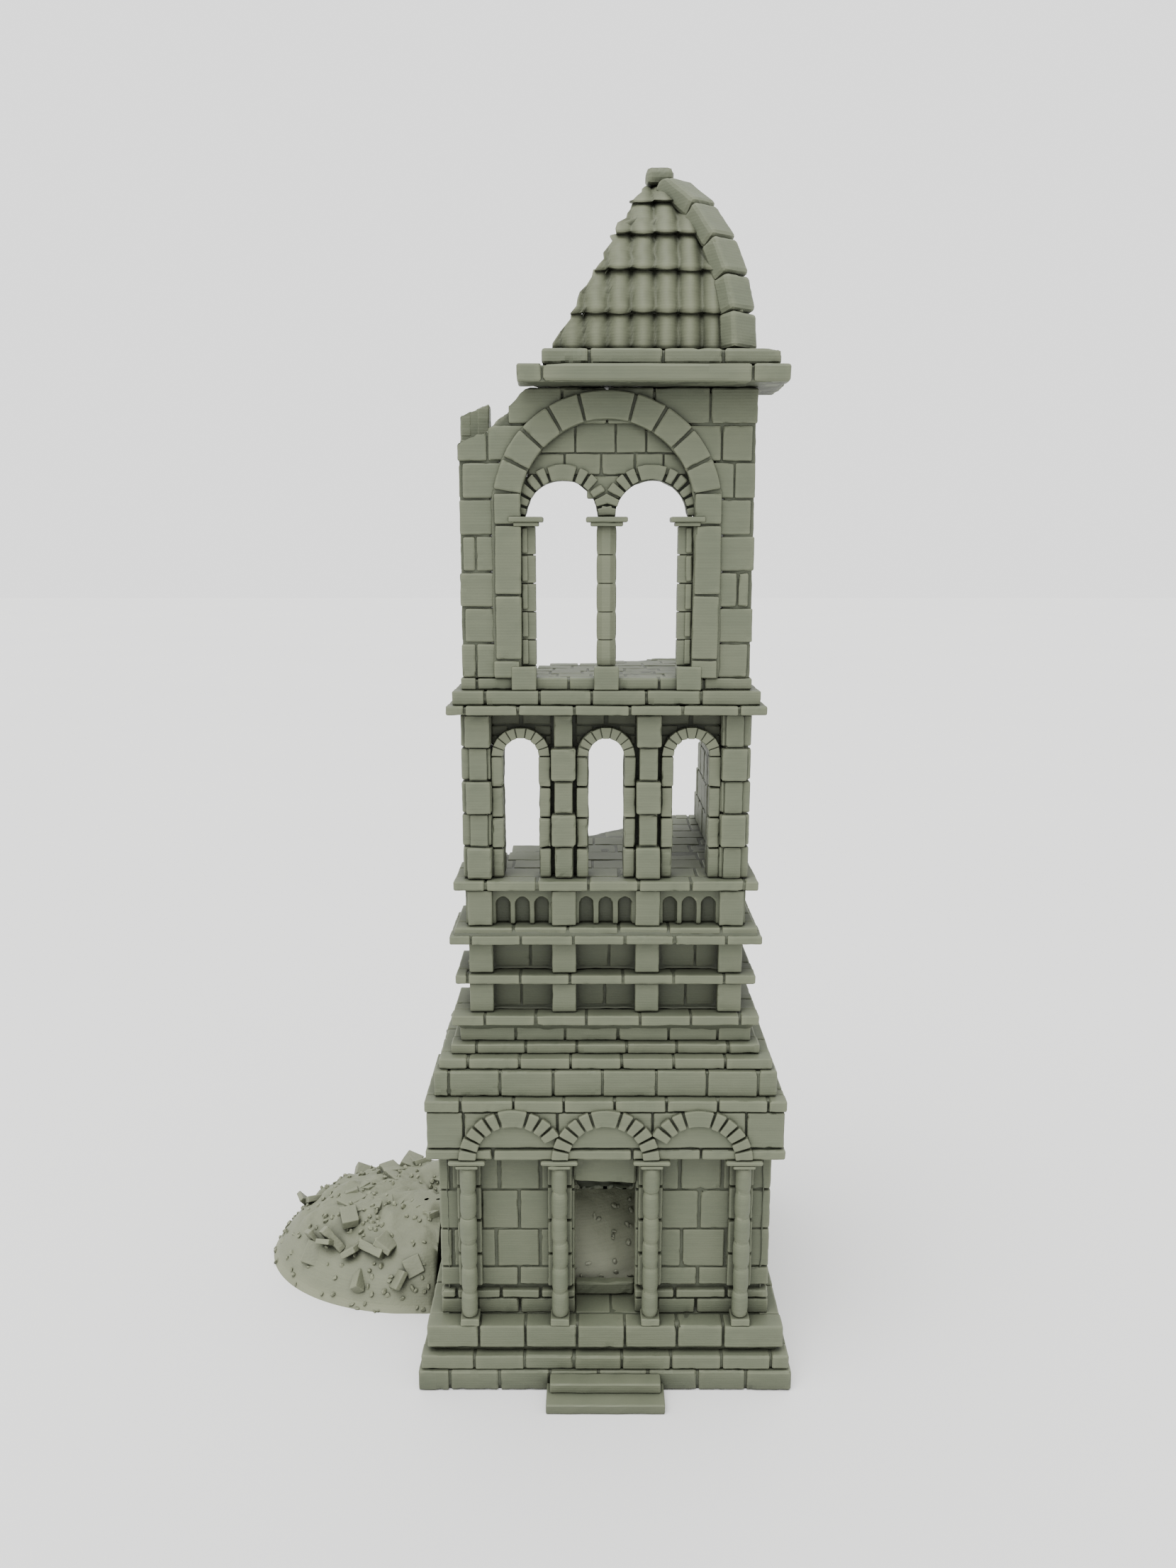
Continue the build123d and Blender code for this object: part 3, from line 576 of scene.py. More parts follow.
def new_mesh(points: np.ndarray, faces: Sequence[Sequence[int]], finish: PrintedPla) -> bpy.types.Mesh:
    """Make a mesh from points in millimetres, with normals facing out."""
    mesh = bpy.data.meshes.new("shape")
    mesh.from_pydata((np.asarray(points) * MM).tolist(), [], [list(map(int, face)) for face in faces])
    work = bmesh.new()
    work.from_mesh(mesh)
    bmesh.ops.recalc_face_normals(work, faces=work.faces)
    work.to_mesh(mesh)
    work.free()
    mesh.materials.append(finish.material())
    return mesh


def merged(name: str, meshes: Sequence[bpy.types.Mesh]) -> bpy.types.Mesh:
    """Join meshes into one, keeping their materials and smooth shading, and drop the parts."""
    work = bmesh.new()
    finishes: list[bpy.types.Material] = []
    for mesh in meshes:
        for material in mesh.materials:
            if material not in finishes:
                finishes.append(material)
        slots = [finishes.index(material) for material in mesh.materials] or [0]
        start = len(work.faces)
        work.from_mesh(mesh)
        work.faces.ensure_lookup_table()
        for face in work.faces[start:]:
            face.material_index = slots[min(face.material_index, len(slots) - 1)]
        bpy.data.meshes.remove(mesh)
    made = bpy.data.meshes.new(name)
    work.to_mesh(made)
    work.free()
    for material in finishes:
        made.materials.append(material)
    return made


def points_of(mesh: bpy.types.Mesh) -> np.ndarray:
    """Return a mesh's vertices in millimetres."""
    flat = np.empty(len(mesh.vertices) * 3)
    mesh.vertices.foreach_get("co", flat)
    return flat.reshape(-1, 3) / MM


def normals_of(mesh: bpy.types.Mesh) -> np.ndarray:
    """Return a mesh's vertex normals."""
    flat = np.empty(len(mesh.vertices) * 3)
    mesh.vertex_normals.foreach_get("vector", flat)
    return flat.reshape(-1, 3)


def set_points(mesh: bpy.types.Mesh, points: np.ndarray) -> None:
    """Write a mesh's vertices from millimetres."""
    mesh.vertices.foreach_set("co", (points * MM).ravel())
    mesh.update()


class Ruin(Enum):
    """Which faces of a CAD node are broken masonry instead of dressed stone."""

    NONE = "none"
    DIAGONAL = "diagonal"       # the tower's fallen back left corner
    FAR_END = "far end"         # the stepped end of a side wall
    SLOPE = "slope"             # a wall top broken to a slope

    def share(self, points: np.ndarray, normals: np.ndarray) -> np.ndarray:
        """Return how broken each point is, from nought to one."""
        x, y, z = normals.T
        if self is Ruin.DIAGONAL:
            return np.clip(((y - x) * 0.7071 - 0.45) / 0.3, 0.0, 1.0)
        top = points[:, 2].max()
        if self is Ruin.FAR_END:
            upper = (z > 0.5) & (points[:, 2] < top - 1.5) & (points[:, 1] > points[:, 1].min() + 12.0)
            return np.maximum(np.clip((y - 0.3) / 0.3, 0.0, 1.0), upper * 1.0)
        if self is Ruin.SLOPE:
            return np.clip((z + 0.3 * (np.abs(x) > 0.5) - 0.3) / 0.3, 0.0, 1.0)
        return np.zeros(len(points))


@dataclass(frozen=True)
class Bed:
    """How the core behind the stones is cut, in millimetres."""

    voxel: float = 1.5
    inset: float = 0.75
    top_inset: float = 0.3
    across: float = 1.0         # share of the inset that the sides and back take too
    rough: float = 0.22
    broken: float = 2.0
    course: float = 6.0         # height of the stones that show in a broken face


def core(node: str, bed: Bed, ruin: Ruin, finish: PrintedPla, broken: PrintedPla,
         seed: int) -> bpy.types.Mesh:
    """Make the rough core of a CAD node: its own shape, drawn in by a joint's depth.

    Args:
        node: the CAD node whose shape is followed.
        bed: how it is cut.
        ruin: which faces are broken.
        finish: the finish in the joints.
        broken: the finish of broken faces.
        seed: the unevenness.
    """
    holder = bpy.data.objects.new("holder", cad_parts[node].data.copy())
    bpy.context.scene.collection.objects.link(holder)
    remesh = holder.modifiers.new("remesh", "REMESH")
    remesh.mode = "VOXEL"
    remesh.voxel_size = bed.voxel * MM
    graph = bpy.context.evaluated_depsgraph_get()
    mesh = bpy.data.meshes.new_from_object(holder.evaluated_get(graph), depsgraph=graph)
    source = holder.data
    bpy.data.objects.remove(holder)
    bpy.data.meshes.remove(source)
    points, normals = points_of(mesh), normals_of(mesh)
    share = ruin.share(points, normals)
    inward = normals * bed.inset * bed.across
    inward[:, 1] = np.where(normals[:, 1] < 0.0, normals[:, 1] * bed.inset, inward[:, 1])
    inward[:, 2] = np.maximum(normals[:, 2], 0.0) * bed.top_inset
    cells = np.floor(points / np.array([bed.course * 1.6, bed.course * 1.6, bed.course]) + 0.37)
    ends = lattice(cells * 17.0, 5.0, seed + 9)
    torn = rugged(points, 5.0, seed, 3) * 0.45 + ends * 0.75 - 0.35
    wander = rugged(points, 3.0, seed + 5, 2) * bed.rough
    moved = points - inward * (1.0 - share[:, None]) + normals * (
        wander + share * torn * bed.broken)[:, None]
    set_points(mesh, moved)
    mesh.materials.clear()
    mesh.materials.append(finish.material())
    mesh.materials.append(broken.material())
    corner = np.array([polygon.vertices[0] for polygon in mesh.polygons])
    mesh.polygons.foreach_set("material_index", (share[corner] > 0.4).astype(np.int32))
    mesh.polygons.foreach_set("use_smooth", np.ones(len(corner), bool))
    mesh.update()
    return mesh


# ---------------------------------------------------------------- runs of stones

@dataclass(frozen=True)
class Joints:
    """How a course is divided: the stones' length, where one joint falls, and the joint's width."""

    pitch: float = 15.4
    phase: float = 0.0
    gap: float = 0.6
    drift: float = 0.5          # how far a joint strays from its place

    def cuts(self, low: float, high: float, rng: random.Random) -> list[float]:
        """Return the ends and joints between two places along a course."""
        first = math.ceil((low - self.phase) / self.pitch + 0.22)
        last = math.floor((high - self.phase) / self.pitch - 0.22)
        inner = [self.phase + n * self.pitch + rng.uniform(-self.drift, self.drift)
                 for n in range(first, last + 1)]
        return [low, *inner, high]


class Mason:
    """Lays stones for one piece, with its own seeded unevenness."""

    def __init__(self, seed: int, wear: float = 0.42, stray: float = 0.22) -> None:
        """Remember the seed, edge wear and how far a stone sits back from the face."""
        self.rng = random.Random(seed)
        self.wear = wear
        self.stray = stray

    def stone(self, side: Side, a0: float, a1: float, reach: float, depth: float, z0: float,
              z1: float, tip: float = 0.0) -> Stone:
        """Return one stone set in a face.

        Args:
            side: the face it is in.
            a0: its near end along the face.
            a1: its far end.
            reach: distance of its outer face from the tower's axis.
            depth: how far it runs into the wall.
            z0: its bottom.
            z1: its top.
            tip: how far it leans sideways, in radians.
        """
        back = self.rng.uniform(0.0, self.stray)
        centre = side.place((a0 + a1) / 2.0, reach - back - depth / 2.0, (z0 + z1) / 2.0)
        sway = self.rng.gauss(0.0, 0.004)
        return Stone(centre, ((a1 - a0) / 2.0, depth / 2.0, (z1 - z0) / 2.0),
                     (self.rng.gauss(0.0, 0.004), sway + tip, side.turn + self.rng.gauss(0.0, 0.006)),
                     self.wear * self.rng.uniform(0.8, 1.35))

    def course(self, side: Side, low: float, high: float, reach: float, depth: float, z0: float,
               z1: float, joints: Joints) -> list[Stone]:
        """Lay one course along a face between two places."""
        cuts = joints.cuts(low, high, self.rng)
        half_gap = joints.gap / 2.0
        return [self.stone(side, a + (half_gap if i else 0.0),
                           b - (half_gap if i < len(cuts) - 2 else 0.0), reach, depth, z0, z1)
                for i, (a, b) in enumerate(zip(cuts, cuts[1:])) if b - a > 1.2]

    def rows(self, side: Side, low: float, high: float, reach: float, depth: float, z0: float,
             z1: float, count: int, joints: Joints, bed_gap: float = 0.8) -> list[Stone]:
        """Lay several courses with broken joints, one over another."""
        stones: list[Stone] = []
        height = (z1 - z0) / count
        for row in range(count):
            shifted = Joints(joints.pitch, joints.phase + row * joints.pitch * 0.5, joints.gap,
                             joints.drift + 1.0)
            stones += self.course(side, low, high, reach, depth, z0 + row * height + bed_gap / 2.0,
                                  z0 + (row + 1) * height - bed_gap / 2.0, shifted)
        return stones

    def belt(self, plan: "Plan", reach: float, depth: float, z0: float, z1: float,
             joints: Joints) -> list[Stone]:
        """Lay one course right round a storey's plan."""
        stones = self.course(Side.FRONT, -reach, reach, reach, depth, z0, z1, joints)
        for side, low, high, out in plan.sides(reach, depth):
            turned = Joints(joints.pitch, joints.phase + self.rng.uniform(3.0, 12.0), joints.gap,
                            joints.drift)
            stones += self.course(side, low, high, out, depth, z0, z1, turned)
        return stones

    def paving(self, x0: float, x1: float, y0: float, y1: float, top: float, size: float,
               keep: Optional["Plan"] = None) -> list[Stone]:
        """Lay thin paving slabs over a floor, leaving out those beyond a broken plan."""
        stones: list[Stone] = []
        rows = max(1, round((y1 - y0) / size))
        deep = (y1 - y0) / rows
        for row in range(rows):
            cuts = Joints(size * 1.25, self.rng.uniform(0.0, size), 0.6, 1.2).cuts(x0, x1, self.rng)
            for a, b in zip(cuts, cuts[1:]):
                y = y0 + (row + 0.5) * deep
                if b - a < 1.5 or (keep and not keep.covers((a + b) / 2.0, y, size * 0.5)):
                    continue
                drop = self.rng.uniform(0.0, 0.25)
                stones.append(Stone(((a + b) / 2.0, y, top - 0.9 - drop),
                                    ((b - a) / 2.0 - 0.3, deep / 2.0 - 0.3, 0.9),
                                    (self.rng.gauss(0, 0.008), self.rng.gauss(0, 0.008),
                                     self.rng.gauss(0, 0.01)), 0.3))
        return stones

    def ring(self, x: float, spring: float, middle: float, thick: float, front: float, depth: float,
             key_angle: float, count: int, gap: float = 0.5,
             keep: Optional[Callable[[float], bool]] = None, end: float = 0.0) -> list[Stone]:
        """Lay an arch's wedge stones, the keystone first.

        Args:
            x: the arch's centre line.
            spring: height of its springing.
            middle: radius of the ring's middle line.
            thick: the ring's thickness.
            front: distance of its face from the tower's axis.
            depth: how far the stones run in.
            key_angle: half of the keystone's angle, in radians.
            count: stones on each side of the keystone.
            gap: width of a joint.
            keep: function of a stone's angle that says whether it is laid.
            end: angle between the springing and the lowest wedge.
        """
        share = (math.pi / 2.0 - key_angle - end) / count
        places = [(0.0, key_angle)] + [(sign * (key_angle + share * (n + 0.5)), share / 2.0)
                                       for n in range(count) for sign in (-1, 1)]
        stones = []
        for angle, spread in places:
            if keep and not keep(angle):
                continue
            back = self.rng.uniform(0.0, self.stray)
            stones.append(Stone(
                (x + middle * math.sin(angle), -(front - back - depth / 2.0),
                 spring + middle * math.cos(angle)),
                (spread * middle - gap / 2.0, depth / 2.0, thick / 2.0 + self.rng.uniform(-0.2, 0.05)),
                (self.rng.gauss(0, 0.006), angle, self.rng.gauss(0, 0.006)),
                self.wear * self.rng.uniform(0.75, 1.2), middle))
        return stones


UNDIVIDED = Joints(40.0, 100.0)     # so far apart that a short course gets no joint


@dataclass(frozen=True)
class Plan:
    """A storey's square plan, whole or with its back left corner fallen."""

    left_y: float
    back_x: float
    back_y: float
    whole: bool = False

    @classmethod
    def of(cls, node: str) -> "Plan":
        """Read where a CAD node's plan is broken from its own corners."""
        points, box = corners(node), Box.of(node)
        left_y = points[points[:, 0] < box.x0 + 0.05, 1].max()
        back_x = points[points[:, 1] > box.y1 - 0.05, 0].min()
        return cls(float(left_y), float(back_x), box.y1, back_x < box.x0 + 0.5)

    def sides(self, reach: float, depth: float) -> list[tuple[Side, float, float, float]]:
        """Return each standing side behind the front: the side, its two ends and its reach."""
        far = self.back_y if not self.whole else reach
        left = reach if self.whole else self.left_y
        back = -reach if self.whole else self.back_x
        return [(Side.RIGHT, depth - reach, far, reach), (Side.LEFT, -left, reach - depth, reach),
                (Side.BACK, depth - reach, -back - (depth if self.whole else 0.0), far)]

    def covers(self, x: float, y: float, margin: float) -> bool:
        """Say whether a place still stands on the broken plan."""
        if self.whole:
            return True
        half = abs(Box.of("plinth_lower_course").x0)
        along = ((self.back_x - x) * (self.back_y - self.left_y)
                 - (self.back_y - y) * (self.back_x + half))
        length = math.hypot(self.back_y - self.left_y, self.back_x + half)
        return y < self.back_y - margin and -along / length > margin * 0.6


# ---------------------------------------------------------------- pieces

@dataclass
class Piece:
    """The look of one CAD node: its stones and other meshes, joined into one object."""

    node: str
    body: str
    slot: str = "masonry_print"
    stones: list[Stone] = field(default_factory=list)
    extras: list[bpy.types.Mesh] = field(default_factory=list)
    finish: PrintedPla = DRESSED
    weather: Weathering = CRISP
    margin: float = 0.7         # how far it may pass the CAD node sideways, in millimetres
    below: float = 0.0          # and how far under it
    trim: Optional[Callable[[np.ndarray], np.ndarray]] = None

    def build(self, tree: StoneTree) -> bpy.types.Object:
        """Lay the stones, keep them within the node's place, put the object under its body's empty and hide
        the CAD node.
        """
        meshes = tree.lay(self.stones, self.finish, self.weather) + self.extras
        mesh = merged(self.node + "_look", meshes)
        box = Box.of(self.node)
        low, high = (np.array(corner) / MM for corner in CAD_BOX)
        points = points_of(mesh)
        if self.trim:
            points = self.trim(points)
        least = np.array([box.x0 - self.margin, box.y0 - self.margin, box.z0 - self.below])
        most = np.array([box.x1 + self.margin, box.y1 + self.margin, box.z1])
        set_points(mesh, np.clip(points, np.maximum(least, low), np.minimum(most, high)))
        made = bpy.data.objects.new(self.node + "_look", mesh)
        bpy.context.scene.collection.objects.link(made)
        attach(made, self.body)
        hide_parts(self.node)
        triangles = sum(len(polygon.vertices) - 2 for polygon in mesh.polygons)
        LOG.info("%s: %d stones, %d triangles", self.node, len(self.stones), triangles)
        return made


class Storey:
    """A body of the tower, with what its walls have in common."""

    BODY = ""
    RUIN = Ruin.NONE            # how its pieces are broken unless they say otherwise

    def piece(self, node: str, stones: Sequence[Stone], ruin: Optional[Ruin] = None, bed: Bed = Bed(),
              seed: int = 1, **more: object) -> Piece:
        """Put stones and a node's own rough core together."""
        made = Piece(node, self.BODY, stones=list(stones), **more)
        # the core's joints take the darker joint colour, which is painted shade
        made.extras.append(core(node, bed, ruin or self.RUIN, SHADED_CORE, BROKEN, seed))
        return made

    def both_faces(self, mason: Mason, node: str, side: Side, far: float, depth: float, z0: float,
                   z1: float, joints: Joints, back: float = 0.0) -> list[Stone]:
        """Lay one course on the outer and on the inner face of a side wall.

        Args:
            mason: lays the stones.
            node: the wall's CAD node.
            side: the side of the tower that it stands on.
            far: how far back (+Y) the course runs.
            depth: how far its stones run into the wall.
            z0: its bottom.
            z1: its top.
            joints: how it is divided.
            back: how far it stands back from the face.
        """
        box = Box.of(node)
        outside, inside = max(box.x1, -box.x0), -min(abs(box.x0), abs(box.x1))
        stones: list[Stone] = []
        for face, reach in ((side, outside), (side.across, inside)):
            stones += mason.course(face, *face.span(box.y0, far), reach - back, depth, z0, z1, joints)
        return stones


# ---------------------------------------------------------------- ground storey

@dataclass(frozen=True)
class GroundSizes:
    """Sizes of the ground storey's masonry, in millimetres."""

    lower_joints: Joints = Joints(phase=-2.1)
    upper_joints: Joints = Joints(phase=5.6)
    stylobate_joints: Joints = Joints(phase=6.5)
    groove: float = 1.7                         # dark groove under the stylobate's stones
    rows: tuple[tuple[float, float, float], ...] = (   # bottom, top, and how far it stands back
        (0.0, 4.9, 0.9), (5.5, 8.1, 0.5), (9.3, 15.3, 1.7), (15.7, 28.3, 2.0), (28.7, 41.7, 2.0),
        (42.1, 55.5, 2.0))
    entablature: tuple[tuple[float, float, Joints, float], ...] = (
        (0.1, 3.2, Joints(21.0, 8.0), 0.0), (3.7, 15.2, Joints(28.2, 13.6), 0.5),
        (15.6, 19.2, Joints(15.4, 3.0), 0.0))  # bottom, top, joints, and how far it stands back
    pier: float = 7.4
    drums: int = 6
    column_base: float = 2.4
    column_slab: float = 1.5
    column_flare: float = 1.2
    column_radius: float = 2.55
    around: int = 132                           # cells round a heap, and rings from its crown to its foot
    rings: int = 34
    brick: tuple[tuple[float, float], ...] = ((3.0, 5.6), (2.0, 3.6), (0.9, 1.7))   # half sizes
    brick_cover: float = 2.6                    # how far a brick's middle stays under the heap's top
    crumb: float = 1.7
    crumbs_per_cm2: float = 4.0
    course_phases: tuple[float, float, float] = (-0.6, 4.8, 6.6)


class GroundStorey(Storey):
    """Plinth, steps, portico, entablature and the rubble, on the root body."""

    BODY = "ground_storey"

    def __init__(self, sizes: GroundSizes, pebbles: PebbleTree) -> None:
        """Keep the sizes and read the levels that several pieces share."""
        self.sizes = sizes
        self.pebbles = pebbles
        self.floor = Box.of("stylobate").z1
        self.wall = Box.of("portico_wall_left")

    def plinth(self) -> list[Piece]:
        """Return the two plinth courses and the stylobate with its paved floor."""
        s = self.sizes
        pieces = []
        for seed, (node, joints) in enumerate((("plinth_lower_course", s.lower_joints),
                                               ("plinth_upper_course", s.upper_joints))):
            box, mason = Box.of(node), Mason(11 + seed, 0.55, 0.35)
            stones = mason.belt(Plan(0, 0, 0, True), box.x1, 6.5, box.z0 + 0.15, box.z1, joints)
            pieces.append(self.piece(node, stones, seed=seed))
        box, mason = Box.of("stylobate"), Mason(15, 0.5, 0.3)
        stones = mason.belt(Plan(0, 0, 0, True), box.x1, 6.6, box.z0 + s.groove, box.z1,
                            s.stylobate_joints)
        inner = box.x1 - 6.9
        stones += mason.paving(-inner, inner, -inner, inner, box.z1, 11.0)
        pieces.append(self.piece("stylobate", stones, bed=Bed(inset=1.5), seed=3))
        return pieces

    def steps(self) -> list[Piece]:
        """Return the worn entrance steps."""
        pieces = []
        for node, phase in (("step_lower", 3.0), ("step_upper", -5.0)):
            box, mason = Box.of(node), Mason(len(node) * 3, 0.45, 0.1)
            stones = mason.course(Side.FRONT, box.x0, box.x1, -box.y0, box.y1 - box.y0, box.z0,
                                  box.z1, Joints(200.0, phase + 90.0))
            pieces.append(Piece(node, self.BODY, stones=stones, weather=TRODDEN))
        box, mason = Box.of("inner_step"), Mason(31, 0.8)
        stones = mason.course(Side.FRONT, box.x0, box.x1, -box.y0, box.y1 - box.y0, box.z0, box.z1,
                              Joints(200.0, 90.0))
        pieces.append(Piece("inner_step", self.BODY, stones=stones, weather=ROUGH))
        return pieces

    def wall_rows(self, mason: Mason, side: Side, low: float, high: float, reach: float,
                  pitch: float = 13.0, set_back: float = 1.0) -> list[Stone]:
        """Lay the wall's uneven rows along one face."""
        stones: list[Stone] = []
        for number, (z0, z1, back) in enumerate(self.sizes.rows):
            joints = Joints(pitch, number * pitch * 0.5 + 2.0, 0.8, 1.4)
            stones += mason.course(side, low, high, reach - back * set_back, 3.4, self.floor + z0,
                                   self.floor + z1, joints)
        return stones

    def portico(self) -> list[Piece]:
        """Return the portico's front walls, with piers behind the columns, and the lintel."""
        pieces = []
        for seed, node in enumerate(("portico_wall_left", "portico_wall_right")):
            box, mason = Box.of(node), Mason(41 + seed, 0.45)
            outer = Side.LEFT if node.endswith("left") else Side.RIGHT
            stones = self.wall_rows(mason, Side.FRONT, box.x0, box.x1, -box.y0, 14.0)
            stones += self.wall_rows(mason, outer, *outer.span(box.y0 + 3.6, box.y1),
                                     max(-box.x0, box.x1), 11.0, 0.5)
            stones += self.wall_rows(mason, Side.BACK, -box.x1, -box.x0, box.y1, 13.0, 0.5)
            jamb, inner = outer.across, box.x1 if outer is Side.LEFT else -box.x0
            stones += self.wall_rows(mason, jamb, *jamb.span(box.y0 + 3.6, box.y1 - 3.6), inner, 20.0, 0.3)
            for column in (1, 2, 3, 4):
                at = Box.of(f"portico_column_{column}")
                middle = (at.x0 + at.x1) / 2.0
                if box.x0 < middle < box.x1:
                    half = self.sizes.pier / 2.0
                    low, high = max(middle - half, box.x0), min(middle + half, box.x1)
                    stones += mason.rows(Side.FRONT, low, high, -box.y0, 2.4, self.floor + 9.6, box.z1,
                                         4, UNDIVIDED)
            pieces.append(self.piece(node, stones, bed=Bed(voxel=1.4, inset=2.6), seed=seed + 5))
        box, mason = Box.of("door_lintel"), Mason(47, 0.9)
        low, high = box.x0 - 0.4, box.x1 + 0.4
        stones = [mason.stone(Side.FRONT, low, high, -box.y0 - 1.4, 7.0, box.z0 + 2.2, box.z1 - 1.0, 0.05),
                  mason.stone(Side.FRONT, low, high, -box.y0 - 4.5, 4.0, box.z0, box.z0 + 3.5, -0.03)]
        stones += mason.course(Side.BACK, low, high, box.y1, 3.0, box.z0 + 0.2, box.z1, Joints(9.0, 2.0))
        pieces.append(self.piece("door_lintel", stones, bed=Bed(voxel=1.2, inset=4.6, rough=0.9, across=0.1),
                                 seed=8, weather=SHATTERED))
        return pieces

    def columns(self) -> list[Piece]:
        """Return the four drum columns with their square bases and capital slabs."""
        pieces = []
        for number in (1, 2, 3, 4):
            node = f"portico_column_{number}"
            box, rng = Box.of(node), random.Random(60 + number)
            x, y, half = (box.x0 + box.x1) / 2.0, (box.y0 + box.y1) / 2.0, (box.y1 - box.y0) / 2.0
            s = self.sizes
            base, slab, flare, radius = s.column_base, s.column_slab, s.column_flare, s.column_radius
            stones = [Stone((x, y, box.z0 + base / 2), (half, half, base / 2), wear=0.35),
                      Stone((x, y, box.z1 - slab / 2), ((box.x1 - box.x0) / 2, half, slab / 2), wear=0.6),
                      Stone((x, y, box.z1 - slab - flare / 2), (radius * 1.35, radius * 1.1, flare / 2),
                            wear=0.55)]
            low, high = box.z0 + base, box.z1 - slab - flare
            height = (high - low) / self.sizes.drums
            for drum in range(self.sizes.drums):
                wide = radius * rng.uniform(0.94, 1.04)
                centre = (x + rng.gauss(0, 0.07), y + rng.gauss(0, 0.07), low + (drum + 0.5) * height)
                stones.append(Stone(centre, (wide, wide, height / 2 - 0.06), (0, 0, rng.uniform(0, 1)),
                                    0.5, round=1.0, sides=9))
            stones.append(Stone((x, y, (low + high) / 2), (radius * 0.84, radius * 0.84, (high - low) / 2),
                                wear=0.1, round=1.0, sides=6))
            pieces.append(Piece(node, self.BODY, stones=stones, weather=replace(CARVED, seed=number)))
        return pieces

    def side_walls(self) -> list[Piece]:
        """Return the two side walls, broken off in steps towards the back."""
        pieces = []
        for seed, side in enumerate((Side.RIGHT, Side.LEFT)):
            node = f"ground_side_wall_{side.name.lower()}"
            mason = Mason(71 + seed, 0.45, 0.4)
            stones: list[Stone] = []
            for number, (z0, z1, back) in enumerate(self.sizes.rows):
                far = far_reach(node, self.floor + z1) + mason.rng.uniform(-2.5, 0.4)
                stones += self.both_faces(mason, node, side, far, 3.6, self.floor + z0, self.floor + z1,
                                          Joints(12.5, number * 6.3 + 2.0, 0.8, 1.6), back * 0.4)
            pieces.append(self.piece(node, stones, Ruin.FAR_END, Bed(inset=1.7), seed + 21))
        return pieces

    def entablature(self) -> list[Piece]:
        """Return the entablature and the three blind arches on its front."""
        box, mason = Box.of("entablature"), Mason(81, 0.45, 0.25)
        left = far_reach("entablature", box.z0 + 1)
        points = corners("entablature")
        left_far = float(points[points[:, 0] < box.x0 + 0.1, 1].max())
        stones: list[Stone] = []
        for z0, z1, joints, back in self.sizes.entablature:
            low, high, out = box.z0 + z0, box.z0 + z1, box.x1 - back
            stones += mason.course(Side.FRONT, -out, out, out, 5.0, low, high, joints)
            for side, ends in ((Side.RIGHT, (5.0 - out, left)), (Side.LEFT, (-left_far, out - 5.0))):
                stones += mason.course(side, *ends, out, 5.0, low, high, Joints(16.0, joints.phase))
        pieces = [self.piece("entablature", stones, Ruin.FAR_END, Bed(inset=1.6), seed=30)]
        for seed, name in enumerate(("left", "centre", "right")):
            node = f"blind_arch_{name}"
            at, mason = Box.of(node), Mason(84 + seed, 0.4, 0.05)
            outer = at.z1 - at.z0
            x = at.x1 - outer if name == "right" else at.x0 + outer
            crossed = (lambda angle, x=x: True) if name == "centre" else (
                lambda angle, x=x, outer=outer: math.hypot(
                    x + (outer - 1.0) * math.sin(angle), (outer - 1.0) * math.cos(angle)) > outer + 0.6)
            stones = mason.ring(x, at.z0, outer - 2.75, 5.4, -at.y0, 0.8 + 1.4, 0.3, 5, 0.7, crossed)
            made = Piece(node, self.BODY, stones=stones, margin=1.6, weather=CARVED)
            pieces.append(made)
        return pieces

    def courses(self) -> list[Piece]:
        """Return the three stepped courses over the entablature."""
        pieces = []
        for number, phase in enumerate(self.sizes.course_phases, start=1):
            node = f"stepped_course_{number}"
            box, mason = Box.of(node), Mason(90 + number, 0.45, 0.3)
            top = box.z1 if number < 3 else box.z0 + 3.2
            stones = mason.belt(Plan.of(node), box.x1, 6.0, box.z0 + 0.1, top, Joints(phase=phase))
            pieces.append(self.piece(node, stones, Ruin.DIAGONAL, Bed(course=3.5), seed=40 + number))
        return pieces

    def mound(self, node: str, seed: int, brick_count: int, bare_rim: float,
              finish: PrintedPla) -> Piece:
        """Return a heap of rubble: a rough mound with half-buried bricks and strewn crumbs.

        Args:
            node: its CAD node, whose top and sides it keeps to.
            seed: its unevenness.
            brick_count: how many bricks show.
            bare_rim: share of the heap's radius that is smooth at the foot.
            finish: its finish.
        """
        points = corners(node)
        box = Box.of(node)
        crown = points[points[:, 2] > box.z1 - 0.5].mean(axis=0)
        around, out = self.sizes.around, self.sizes.rings
        angles = np.arange(around) * TAU / around
        wide = float(max(crown[0] - box.x0, box.x1 - crown[0]))
        deep = float(max(crown[1] - box.y0, box.y1 - crown[1]))
        height = box.z1 - box.z0
        grid = []
        for ring in range(1, out + 1):
            share = ring / out
            x = crown[0] + wide * share * np.cos(angles)
            y = crown[1] + deep * share * np.sin(angles)
            z = np.full(around, box.z0 + height * (1.0 - share ** 4))
            grid.append(np.stack([x, y, z], 1))
        surface = np.concatenate([[[crown[0], crown[1], box.z1]], *grid])
        share = np.hypot((surface[:, 0] - crown[0]) / wide, (surface[:, 1] - crown[1]) / deep)
        rough = np.clip((bare_rim - share) / 0.12, 0.25, 1.0) * np.clip((1.0 - share) / 0.08, 0.0, 1.0)
        flat = surface * np.array([1.0, 1.0, 0.35])
        surface[:, 2] += rough * (rugged(flat, 13.0, seed) * 1.6 + rugged(flat, 4.5, seed + 3) * 1.15
                                  + rugged(flat, 1.8, seed + 6, 2) * 0.45 - 0.8)
        surface = np.clip(surface, (box.x0, box.y0, box.z0), (box.x1, box.y1, box.z1))
        under = surface[-around:].copy()
        under[:, 2] = box.z0
        everything = np.concatenate([surface, under, [[crown[0], crown[1], box.z0]]])
        faces = [(0, 1 + n, 1 + (n + 1) % around) for n in range(around)]
        for ring in range(out):
